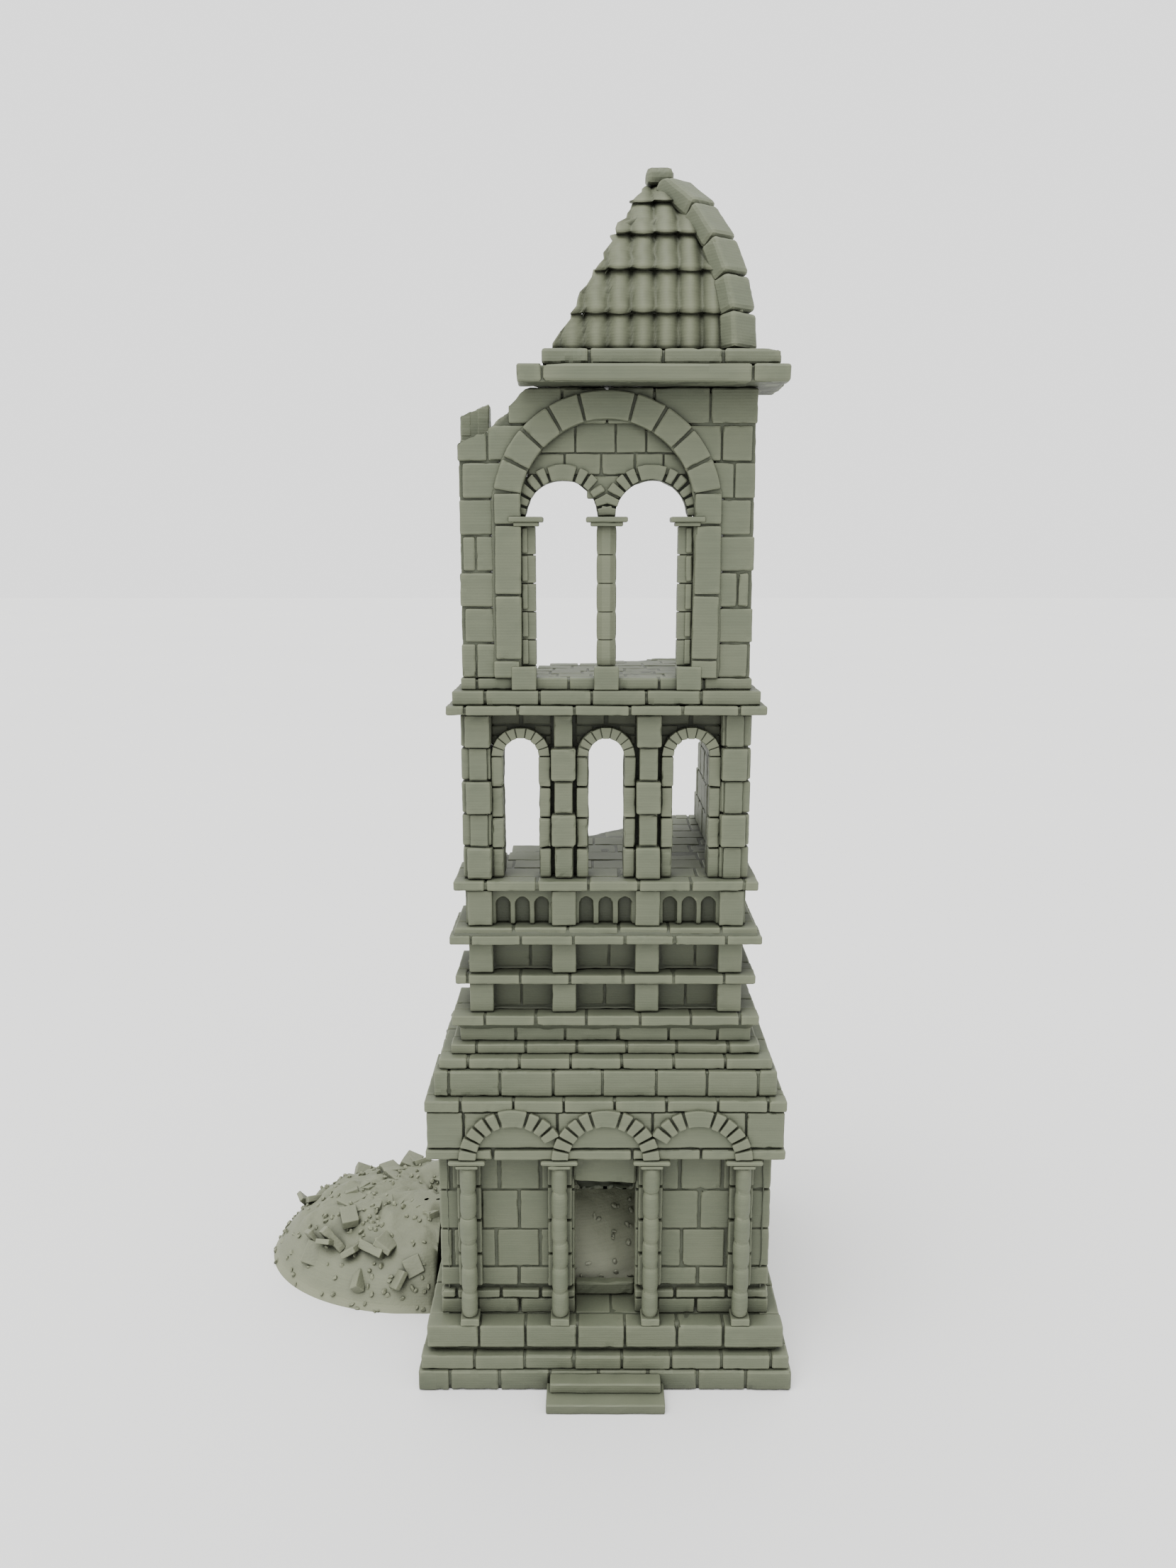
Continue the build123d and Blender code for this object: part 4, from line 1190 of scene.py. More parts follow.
            near, far = 1 + ring * around, 1 + (ring + 1) * around
            faces += [(near + n, far + n, far + (n + 1) % around, near + (n + 1) % around)
                      for n in range(around)]
        last = len(everything) - 1
        faces += [(last - around + n, last, last - around + (n + 1) % around) for n in range(around)]
        ground = new_mesh(everything, faces, finish)
        ground.polygons.foreach_set("use_smooth", np.ones(len(ground.polygons), bool))
        rng = random.Random(seed)
        bricks = []
        while len(bricks) < brick_count:
            angle, reach = rng.uniform(0, TAU), rng.uniform(0.1, 0.86) ** 0.7
            x, y = crown[0] + wide * reach * math.cos(angle), crown[1] + deep * reach * math.sin(angle)
            if not (box.x0 + 5 < x < box.x1 - 2.5 and box.y0 + 4 < y < box.y1 - 4):
                continue
            z = box.z0 + height * (1.0 - reach ** 4)
            size = tuple(rng.uniform(*limits) for limits in self.sizes.brick)
            lean = math.atan2(4 * height * reach ** 3, (wide + deep) / 2.0)
            bricks.append(Stone((x, y, min(z - 0.4, box.z1 - self.sizes.brick_cover)), size, (
                -lean * math.sin(angle) + rng.uniform(-0.35, 0.35),
                lean * math.cos(angle) + rng.uniform(-0.35, 0.35), rng.uniform(0, TAU)), 0.35))
        crumbs = self.pebbles.strew(ground, self.sizes.crumbs_per_cm2, self.sizes.crumb, seed, finish)
        return Piece(node, self.BODY, "rubble_print", bricks, [ground, crumbs], finish, CRISP, 0.0)

    def pieces(self) -> list[Piece]:
        """Return every piece of the storey."""
        return [*self.plinth(), *self.steps(), *self.portico(), *self.columns(), *self.side_walls(),
                *self.entablature(), *self.courses(), self.mound("rubble_heap", 5, 34, 0.9, RUBBLE),
                self.mound("rubble_scree", 9, 30, 1.1, SCREE)]


# ---------------------------------------------------------------- arcade storey

@dataclass(frozen=True)
class ArcadeSizes:
    """Sizes of the arcade storey's masonry, in millimetres."""

    wall_joints: Joints = Joints(phase=3.4)
    band_joints: Joints = Joints(phase=-5.4)
    mid_joints: Joints = Joints(phase=5.0)
    cornice_joints: Joints = Joints(phase=5.5)
    cornice_top_joints: Joints = Joints(phase=3.7)
    sill_joints: Joints = Joints(phase=-5.4)
    top_joints: Joints = Joints(pitch=15.8, phase=6.3)
    pilaster: float = 7.2
    narrowing: float = 1.9
    blocks: int = 5
    jamb: float = 3.4


class ArcadeStorey(Storey):
    """Frieze, balustrade and three-arched arcade, on the first lifting body."""

    BODY = "arcade_storey"
    RUIN = Ruin.DIAGONAL

    def __init__(self, sizes: ArcadeSizes) -> None:
        """Keep the sizes and read where the pilasters and arches stand."""
        self.sizes = sizes
        pilasters = [Box.of(f"arcade_pilaster_{n}") for n in (1, 2, 3, 4)]
        self.pilasters = [(box.x0 + box.x1) / 2.0 for box in pilasters]
        frames = [Box.of(f"arch_frame_{name}") for name in ("left", "centre", "right")]
        self.arches = [(box.x0 + box.x1) / 2.0 for box in frames]
        self.opening = (frames[0].x1 - frames[0].x0) / 2.0 - sizes.jamb
        self.plan = Plan.of("frieze_panel_lower")

    def layered(self, node: str, layers: Sequence[tuple[float, float, float, Joints]], seed: int,
                paved: bool = False) -> Piece:
        """Return a band of one or more courses.

        Args:
            node: its CAD node.
            layers: bottom and top above the node's foot, reach and joints of each course.
            seed: its unevenness.
            paved: whether its top is a paved floor.
        """
        box, mason, stones = Box.of(node), Mason(seed, 0.42, 0.25), []
        for low, high, reach, joints in layers:
            plan = Plan(self.plan.left_y, self.plan.back_x, reach)
            if node == "top_cornice":
                plan = Plan.of(node)
            stones += mason.belt(plan, reach, 6.0, box.z0 + low + 0.1, box.z0 + high, joints)
        if paved:
            inner = layers[-1][2] - 6.3
            plan = Plan(self.plan.left_y, self.plan.back_x, inner)
            stones += mason.paving(-inner, inner, -inner, inner, box.z0 + layers[-1][1], 9.5, plan)
        return self.piece(node, stones, bed=Bed(course=3.0), seed=seed)

    def bands(self) -> list[Piece]:
        """Return the level bands, from the frieze's base to the top cornice."""
        s = self.sizes
        base, cornice = Box.of("frieze_base"), Box.of("balcony_cornice")
        mid, sill, top = Box.of("frieze_band"), Box.of("arcade_sill"), Box.of("top_cornice")
        return [
            self.layered("frieze_base", ((0.0, 5.7, base.x1 - 2.2, s.wall_joints),
                                         (5.75, 8.9, base.x1, s.band_joints)), 101),
            self.layered("frieze_band", ((0.0, mid.z1 - mid.z0, mid.x1, s.mid_joints),), 102),
            self.layered("balcony_cornice", ((0.0, 2.75, cornice.x1, s.cornice_joints),
                                             (2.8, 5.0, cornice.x1 - 1.4, s.cornice_top_joints)), 103),
            self.layered("arcade_sill", ((0.0, sill.z1 - sill.z0, sill.x1, s.sill_joints),), 104, True),
            self.layered("top_cornice", ((0.0, 2.7, top.x1, s.top_joints),), 105)]

    def piers(self, mason: Mason, box: Box, z0: float, z1: float) -> list[Stone]:
        """Lay the flat pilaster blocks of a recessed band."""
        half = self.sizes.pilaster / 2.0
        return [mason.stone(Side.FRONT, x - half, x + half, 0.45 - box.y0, 4.0, z0, z1)
                for x in self.pilasters]

    def panels(self) -> list[Piece]:
        """Return the two recessed panel courses."""
        pieces = []
        for seed, (node, share) in enumerate((("frieze_panel_lower", 0.42), ("frieze_panel_upper", 0.60))):
            box, mason = Box.of(node), Mason(111 + seed, 0.42, 0.25)
            z0, z1 = box.z0 + 0.2, box.z1 - 0.2
            stones = self.piers(mason, box, z0, z1)
            half = self.sizes.pilaster / 2.0
            for a, b in zip(self.pilasters, self.pilasters[1:]):
                low, high = a + half - 0.6, b - half + 0.6
                cut = low + (high - low) * (share + mason.rng.uniform(-0.08, 0.08))
                for x0, x1 in ((low, cut - 0.25), (cut + 0.25, high)):
                    stones.append(mason.stone(Side.FRONT, x0, x1, box.x1 - 2.8, 3.0, z0 + 0.2, z1 - 0.2))
            for side, low, high, out in self.plan.sides(box.x1, 3.0):
                stones += mason.course(side, low, high, out, 4.0, z0, z1, Joints(12.4, seed * 6.0, 0.9, 1.0))
            pieces.append(self.piece(node, stones, bed=Bed(voxel=1.3, inset=3.4), seed=115 + seed))
        return pieces

    def balustrade(self) -> Piece:
        """Return the balustrade with its three bays of three blind niches."""
        box, mason = Box.of("balustrade"), Mason(121, 0.35, 0.12)
        stones = self.piers(mason, box, box.z0 + 0.15, box.z1 - 0.15)
        face = box.x1
        for side, low, high, out in self.plan.sides(face, 3.0):
            stones += mason.rows(side, low, high, out, 4.0, box.z0, box.z1, 2, Joints(12.0, 3.0))
        made = self.piece("balustrade", stones, seed=122, bed=Bed(
            voxel=0.45, inset=0.1, across=0.0, rough=0.06))
        bed = made.extras[0]
        points = points_of(bed)
        face_up = [points[polygon.vertices[0], 1] < 0.9 - face for polygon in bed.polygons]
        bed.materials.append(DRESSED.material())
        bed.polygons.foreach_set("material_index", np.array(face_up, dtype=np.int32) * 2)
        return made

    def pilasters_and_frames(self) -> list[Piece]:
        """Return the banded pilasters and the framed arches."""
        s, pieces = self.sizes, []
        for number, x in enumerate(self.pilasters):
            node = f"arcade_pilaster_{number + 1}"
            box, mason = Box.of(node), Mason(131 + number, 0.5, 0.15)
            height = (box.z1 - box.z0) / s.blocks
            stones = []
            for level in range(s.blocks):
                narrow = (level + number) % 2
                half = (s.pilaster - narrow * s.narrowing) / 2.0
                reach = -box.y0 - narrow * 1.1
                stones.append(mason.stone(Side.FRONT, x - half, x + half, reach, reach + box.y1 - 0.1,
                                          box.z0 + level * height + 0.18,
                                          box.z0 + (level + 1) * height - 0.18))
            half = s.pilaster / 2.0 - 0.9
            stones.append(mason.stone(Side.FRONT, x - half, x + half, -box.y0 - 1.7,
                                      box.y1 - box.y0 - 1.5, box.z0, box.z1))
            pieces.append(Piece(node, self.BODY, stones=stones))
        for seed, (name, x) in enumerate(zip(("left", "centre", "right"), self.arches)):
            node = f"arch_frame_{name}"
            box, mason = Box.of(node), Mason(141 + seed, 0.45, 0.12)
            outer = (box.x1 - box.x0) / 2.0
            spring = box.z1 - outer
            mason.wear = 0.22
            stones = mason.ring(x, spring, outer - s.jamb / 2.0, s.jamb, -box.y0, 2.6, 0.2, 4, 0.24)
            stones += mason.ring(x, spring, outer - s.jamb / 2.0, s.jamb, -box.y0 - 0.45, 3.2, 0.5, 1, -0.2)
            mason.wear = 0.45
            height = (spring - box.z0) / 4.0
            for sign in (-1, 1):
                for level in range(4):
                    bulge = 0.0 if (level + seed) % 2 else 0.55
                    near, far = sign * (self.opening + bulge * 0.4), sign * (outer + 0.1)
                    low, high = sorted((x + near, x + far))
                    stones.append(mason.stone(Side.FRONT, low, high, -box.y0 - bulge * 0.8,
                                              box.y1 - box.y0 - 0.4, box.z0 + level * height + 0.2,
                                              box.z0 + (level + 1) * height - 0.2))
            pieces.append(Piece(node, self.BODY, stones=stones))
        return pieces

    def walls(self) -> list[Piece]:
        """Return the arcade's plate with its recessed spandrels, and the broken side walls."""
        box, mason = Box.of("arcade_plate"), Mason(151, 0.4, 0.3)
        spring = Box.of("arch_frame_centre").z1 - self.opening - self.sizes.jamb
        half = self.sizes.pilaster / 2.0
        stones = []
        for x in self.arches:
            top = spring + self.opening + self.sizes.jamb
            for a, b in ((x - 12.5 + half, x - 0.5), (x + 0.5, x + 12.5 - half)):
                stones.append(mason.stone(Side.FRONT, a, b, -box.y0, 2.4, top + 0.2, box.z1 - 0.2))
            for sign in (-1, 1):
                for row in range(3):
                    z0 = top - 9.0 + row * 3.0
                    inner = math.sqrt(max(0.0, 64.0 - max(0.0, z0 + 1.5 - spring) ** 2)) + 0.2
                    a, b = sorted((x + sign * inner, x + sign * (12.5 - half)))
                    if b - a > 0.8:
                        stones.append(mason.stone(Side.FRONT, a, b, -box.y0, 2.2, z0 + 0.1, z0 + 2.9))
        for x in (a for n, a in enumerate(self.pilasters) if n in (1, 2)):
            stones += mason.rows(Side.BACK, -x - 6.5, -x + 6.5, box.y1, 2.2, box.z0, spring, 5,
                                 Joints(9.0, 3.0))
        pieces = [self.piece("arcade_plate", stones, Ruin.NONE, Bed(voxel=0.9, inset=0.5, across=0.0), 152)]
        for seed, side in enumerate((Side.RIGHT, Side.LEFT)):
            node = f"arcade_side_wall_{side.name.lower()}"
            box, mason = Box.of(node), Mason(155 + seed, 0.45, 0.4)
            height, stones = (box.z1 - box.z0) / 5.0, []
            for row in range(5):
                z0, z1 = box.z0 + row * height + 0.3, box.z0 + (row + 1) * height - 0.3
                far = far_reach(node, z1) + mason.rng.uniform(-3.0, 0.4)
                stones += self.both_faces(mason, node, side, far, 3.2, z0, z1,
                                          Joints(12.0, row * 6.0, 0.8, 1.8))
                stones += mason.course(Side.FRONT, box.x0, box.x1, -box.y0 - 0.4, 3.0, z0, z1,
                                       UNDIVIDED)
            pieces.append(self.piece(node, stones, Ruin.FAR_END, Bed(course=9.0), 158 + seed))
        return pieces

    def pieces(self) -> list[Piece]:
        """Return every piece of the storey."""
        return [*self.bands(), *self.panels(), self.balustrade(), *self.pilasters_and_frames(),
                *self.walls()]


# ---------------------------------------------------------------- belfry

@dataclass(frozen=True)
class BelfrySizes:
    """Sizes of the belfry's masonry, in millimetres."""

    course_joints: Joints = Joints(phase=-3.7)
    rows: int = 8
    ring: float = 8.0
    key_angle: float = 0.25
    wedges: int = 4
    jambs: tuple[tuple[float, float], ...] = ((0.1, 5.1), (5.5, 23.4), (23.9, 42.9), (43.4, 51.7))
    small_ring: float = 4.3
    small_key: float = 0.33
    small_wedges: int = 5
    side_row: float = 10.05     # height of a side wall's course, about
    capital: float = 2.5
    pedestal: float = 3.5
    drums: tuple[float, ...] = (0.0, 8.0, 16.0, 24.0, 32.0)    # joints below the capital
    middle_shaft: float = 3.1   # half widths of the shafts
    side_shaft: float = 2.1


class Belfry(Storey):
    """The belfry: one great arch over a twin window, on the second lifting body."""

    BODY = "belfry"

    def __init__(self, sizes: BelfrySizes) -> None:
        """Keep the sizes and read the great arch's place."""
        self.sizes = sizes
        self.arch = Box.of("great_arch")
        self.outer = self.arch.x1
        self.spring = self.arch.z1 - self.outer
        self.wall = Box.of("belfry_front_wall")

    def base(self) -> list[Piece]:
        """Return the belfry's base course and its paved floor."""
        box, mason = Box.of("belfry_course"), Mason(201, 0.42, 0.25)
        stones = mason.belt(Plan.of("belfry_course"), box.x1, 6.0, box.z0 + 0.1, box.z1,
                            self.sizes.course_joints)
        pieces = [self.piece("belfry_course", stones, Ruin.DIAGONAL, Bed(course=3.5), 202)]
        box, mason, plan = Box.of("belfry_floor"), Mason(203, 0.4, 0.2), Plan.of("belfry_floor")
        stones = mason.belt(plan, box.x1, 5.0, box.z0 + 0.1, box.z1, Joints(13.0, 2.0))
        stones += mason.paving(-box.x1 + 5.3, box.x1 - 5.3, box.y0 + 5.3, box.y1 - 1.0, box.z1, 8.5, plan)
        pieces.append(self.piece("belfry_floor", stones, Ruin.DIAGONAL, Bed(course=3.5), 204))
        return pieces

    def limit(self, x: np.ndarray) -> np.ndarray:
        """Return the height of the front wall's broken top at each place along it."""
        points = corners("belfry_front_wall")
        top = points[points[:, 2] > self.spring + 15.0]
        crest: dict[float, float] = {}
        for a, z in zip(np.round(top[:, 0], 2), top[:, 2]):
            if a < 0 and math.hypot(a, z - self.spring) > self.outer + 0.6:
                crest[a] = max(crest.get(a, 0.0), z)
        line = sorted((a, z) for a, z in crest.items() if a < -20.0)
        line.append((self.wall.x1, self.wall.z1))
        xs, zs = zip(*line)
        return np.interp(x, xs, zs)

    def trimmed(self, points: np.ndarray) -> np.ndarray:
        """Bring down what stands over the broken top, with a torn surface."""
        top = self.limit(points[:, 0])
        torn = top + np.where(top < self.wall.z1 - 0.2, rugged(points * [1, 1, 0.2], 4.0, 210) * 0.9 - 0.4, 0)
        points[:, 2] = np.minimum(points[:, 2], torn)
        return points

    def front(self) -> Piece:
        """Return the front wall's rows of quoins round the great arch."""
        box, mason, stones = self.wall, Mason(211, 0.5, 0.3), []
        height = (box.z1 - box.z0) / self.sizes.rows
        for row in range(self.sizes.rows):
            z0, z1 = box.z0 + row * height + 0.25, box.z0 + (row + 1) * height - 0.25
            rise = max(0.0, z1 - self.spring)
            inner = math.sqrt(max(0.0, self.outer ** 2 - rise ** 2)) - 1.0 if rise < self.outer else 0.0
            for sign in (-1, 1):
                edge = box.x1 - (1.1 if (row + (sign > 0)) % 2 else 0.0) - mason.rng.uniform(0.0, 0.4)
                cuts, run = [inner, edge], edge - inner
                if run > 12.0 or (row + (sign > 0)) % 3 == 0:
                    parts = max(2, round(run / 13.0))
                    cuts = [inner + run * (n / parts) + (mason.rng.uniform(-1.6, 1.6)
                            if 0 < n < parts else 0) for n in range(parts + 1)]
                for a, b in zip(cuts, cuts[1:]):
                    low, high = sorted((sign * a, sign * b))
                    if self.limit(np.array([(low + high) / 2]))[0] < z0 + 2.0:
                        continue
                    stones.append(mason.stone(Side.FRONT, low + 0.2, high - 0.2, -box.y0, 4.5, z0, z1))
            for side in (Side.RIGHT, Side.LEFT):
                if self.limit(np.array([box.x0 if side is Side.LEFT else box.x1]))[0] < z0 + 2:
                    continue
                stones += mason.course(side, *side.span(box.y0 + 4.6, box.y1), box.x1, 4.0, z0, z1,
                                       UNDIVIDED)
        made = self.piece("belfry_front_wall", stones, Ruin.SLOPE, Bed(voxel=1.3), 212)
        made.trim = self.trimmed
        return made

    def great_arch(self) -> Piece:
        """Return the great arch: wedge stones over tall jamb slabs."""
        s, box, mason = self.sizes, self.arch, Mason(221, 0.5, 0.15)
        middle = self.outer - s.ring / 2.0
        stones = mason.ring(0.0, self.spring, middle, s.ring, -box.y0, 5.0, s.key_angle, s.wedges, 0.7,
                            end=0.17)
        for sign in (-1, 1):
            for low, high in s.jambs:
                a, b = sorted((sign * (self.outer - s.ring), sign * self.outer))
                shift = mason.rng.uniform(-0.7, 0.4) * sign
                stones.append(mason.stone(Side.FRONT, a + 0.3 + shift, b - 0.3 + shift, -box.y0, 5.2,
                                          box.z0 + low, box.z0 + high, mason.rng.uniform(-0.012, 0.012)))
        return self.piece("great_arch", stones, Ruin.NONE, Bed(voxel=1.1, inset=0.9, across=0.0), 222)

    def window(self) -> list[Piece]:
        """Return the tympanum with its two small arches, and the three shafts."""
        s, box, mason = self.sizes, Box.of("tympanum"), Mason(231, 0.4, 0.15)
        inner, stones = self.outer - s.ring, []
        points = corners("tympanum")
        low_points = points[points[:, 2] < box.z0 + 0.05]
        xs = sorted(set(np.round(np.abs(low_points[:, 0]), 2)))
        near, far = xs[0], xs[-1] if xs[-1] < inner - 1.0 else xs[-2]
        radius, middle_x = (far - near) / 2.0, (far + near) / 2.0
        for sign in (-1, 1):
            stones += mason.ring(sign * middle_x, box.z0, radius + s.small_ring / 2.0, s.small_ring,
                                 -box.y0 + 0.3, 4.0, s.small_key, s.small_wedges, 0.7,
                                 lambda angle, sign=sign: math.hypot(
                                     sign * middle_x + (radius + 2) * math.sin(angle),
                                     (radius + 2) * math.cos(angle)) < inner + 1.5)
        base = box.z0 + radius + s.small_ring - 3.0
        for row, (z0, z1) in enumerate(((base - 6.5, base), (base, base + 6.0), (base + 6.0, box.z1))):
            half = math.sqrt(max(1.0, inner ** 2 - (max(0.0, z0 - self.spring)) ** 2))
            cuts = Joints(9.5, 3.0 + 4.0 * row, 0.6, 1.0).cuts(-half, half, mason.rng)
            for a, b in zip(cuts, cuts[1:]):
                clear = all(math.hypot((a + b) / 2 - sign * middle_x, (z0 + z1) / 2 - box.z0)
                            > radius + s.small_ring - 0.6 for sign in (-1, 1))
                if clear:
                    stones.append(mason.stone(Side.FRONT, a + 0.2, b - 0.2, -box.y0 - 0.7, 3.2,
                                              z0 + 0.15, z1 - 0.15))
        pieces = [self.piece("tympanum", stones, Ruin.NONE, Bed(voxel=0.8, inset=1.4, across=0.0), 232,
                             margin=0.4)]
        for seed, name in enumerate(("left", "centre", "right")):
            node = f"window_shaft_{name}"
            at, mason = Box.of(node), Mason(241 + seed, 0.35, 0.0)
            y, deep = (at.y0 + at.y1) / 2.0, (at.y1 - at.y0) / 2.0
            foot = [x for x, _, z in corners(node) if z < at.z0 + 0.1]
            middle = (min(foot) + max(foot)) / 2.0
            sign = 0.0 if name == "centre" else math.copysign(1.0, middle)
            seat, front = sign * (inner - 0.7), y - 1.3
            slab = (at.x1 - at.x0) / 2.0 + abs(sign) * 1.4
            head = (at.x0 + at.x1) / 2.0 + sign * 1.8
            stones = [Stone((seat, front - 0.6, at.z0 - 0.05), (3.55, deep + 0.6, 3.45), wear=0.4),
                      Stone((head, front - 0.7, at.z1 - s.capital * 0.3), (slab, deep + 0.9,
                            s.capital * 0.3), wear=0.4),
                      Stone((head, front - 0.2, at.z1 - s.capital * 0.8), (slab - 1.3, deep + 0.8,
                            s.capital * 0.24), wear=0.35)]
            if sign:
                stones += mason.rows(Side.FRONT, *sorted((sign * (inner - 0.2), sign * (inner - 2.0))),
                                     -at.y0 + 0.5, 3.0, at.z0 + 3.5, at.z1 - s.capital, 5, Joints(40.0, 90.0))
            top, low = at.z1 - s.capital, at.z0 + s.pedestal
            half = s.side_shaft if sign else s.middle_shaft
            shaft_x = math.copysign(inner - half, middle) if sign else middle
            marks = [top - drop for drop in s.drums if top - drop > low + 3.0] + [low]
            stones.append(Stone((shaft_x + sign * 0.9, y, (top + low) / 2),
                                (half - 0.5 + abs(sign) * 0.7, 1.7, (top - low) / 2), wear=0.2))
            for high, bottom in zip(marks, marks[1:]):
                centre, rise = (shaft_x, y - 0.3, (high + bottom) / 2), (high - bottom) / 2 - 0.14
                stones.append(Stone(centre, (half, 2.1, rise), wear=0.2) if sign else Stone(
                    centre, (half, 2.6, rise), (0, 0, math.pi / 8), 0.2, round=1.0, sides=2))
            pieces.append(Piece(node, self.BODY, stones=stones, weather=SMOOTH, margin=3.2,
                                below=3.5))
        return pieces

    def side_walls(self) -> list[Piece]:
        """Return the side walls, broken off in steps towards the back."""
        pieces = []
        for seed, side in enumerate((Side.RIGHT, Side.LEFT)):
            node = f"belfry_side_wall_{side.name.lower()}"
            box, mason = Box.of(node), Mason(251 + seed, 0.45, 0.4)
            count = max(2, round((box.z1 - box.z0) / self.sizes.side_row))
            height, stones = (box.z1 - box.z0) / count, []
            for row in range(count):
                z0, z1 = box.z0 + row * height + 0.3, box.z0 + (row + 1) * height - 0.3
                far = far_reach(node, z1) + mason.rng.uniform(-2.5, 0.4)
                stones += self.both_faces(mason, node, side, far, 3.4, z0, z1,
                                          Joints(12.5, row * 6.2, 0.8, 1.8))
            if side is Side.LEFT:
                stones.append(mason.stone(Side.FRONT, box.x0 + 0.4, box.x1 - 0.4, -box.y0,
                                          box.y1 - box.y0 - 2.0, box.z1 - 14.0, box.z1 - 0.3))
            made = self.piece(node, stones, Ruin.FAR_END, Bed(course=9.0), 258 + seed)
            made.trim = self.worn_crest if side is Side.LEFT else None
            pieces.append(made)
        return pieces

    def worn_crest(self, points: np.ndarray) -> np.ndarray:
        """Round down the left side wall's open top, higher towards the roof."""
        box = Box.of("belfry_side_wall_left")
        crest = box.z1 - 3.2 + (points[:, 0] - box.x0) * 0.25 + rugged(points * [1, 1, 0.2], 3.5, 263) * 1.1
        points[:, 2] = np.minimum(points[:, 2], crest)
        return points

    def pieces(self) -> list[Piece]:
        """Return every piece of the belfry."""
        return [*self.base(), self.front(), self.great_arch(), *self.window(), *self.side_walls()]


# ---------------------------------------------------------------- roof

@dataclass(frozen=True)
class RoofSizes:
    """Sizes of the eaves and the tiled roof, in millimetres."""

    half_front: float = 44.2
    half_side: float = 36.4
    rise: float = 55.4
    overhang: float = 1.3
    rows: tuple[float, ...] = (0.0, 0.197, 0.436, 0.647, 0.853, 1.0)
    ridge_pitch: float = 6.4
    ridge_phase: float = 3.3
    ridge: float = 2.6
    shell: float = 2.0
    hips: int = 5
    hip_half: tuple[float, float] = (4.7, 2.9)
    step: float = 0.53          # width of a cell across the tiles
    levels: int = 7             # cells up a course
    eave_joints: tuple[tuple[str, tuple[float, ...]], ...] = (
        ("eave_lower", (7.6, 64.0)), ("eave_upper", (13.5, 33.4, 49.5)))


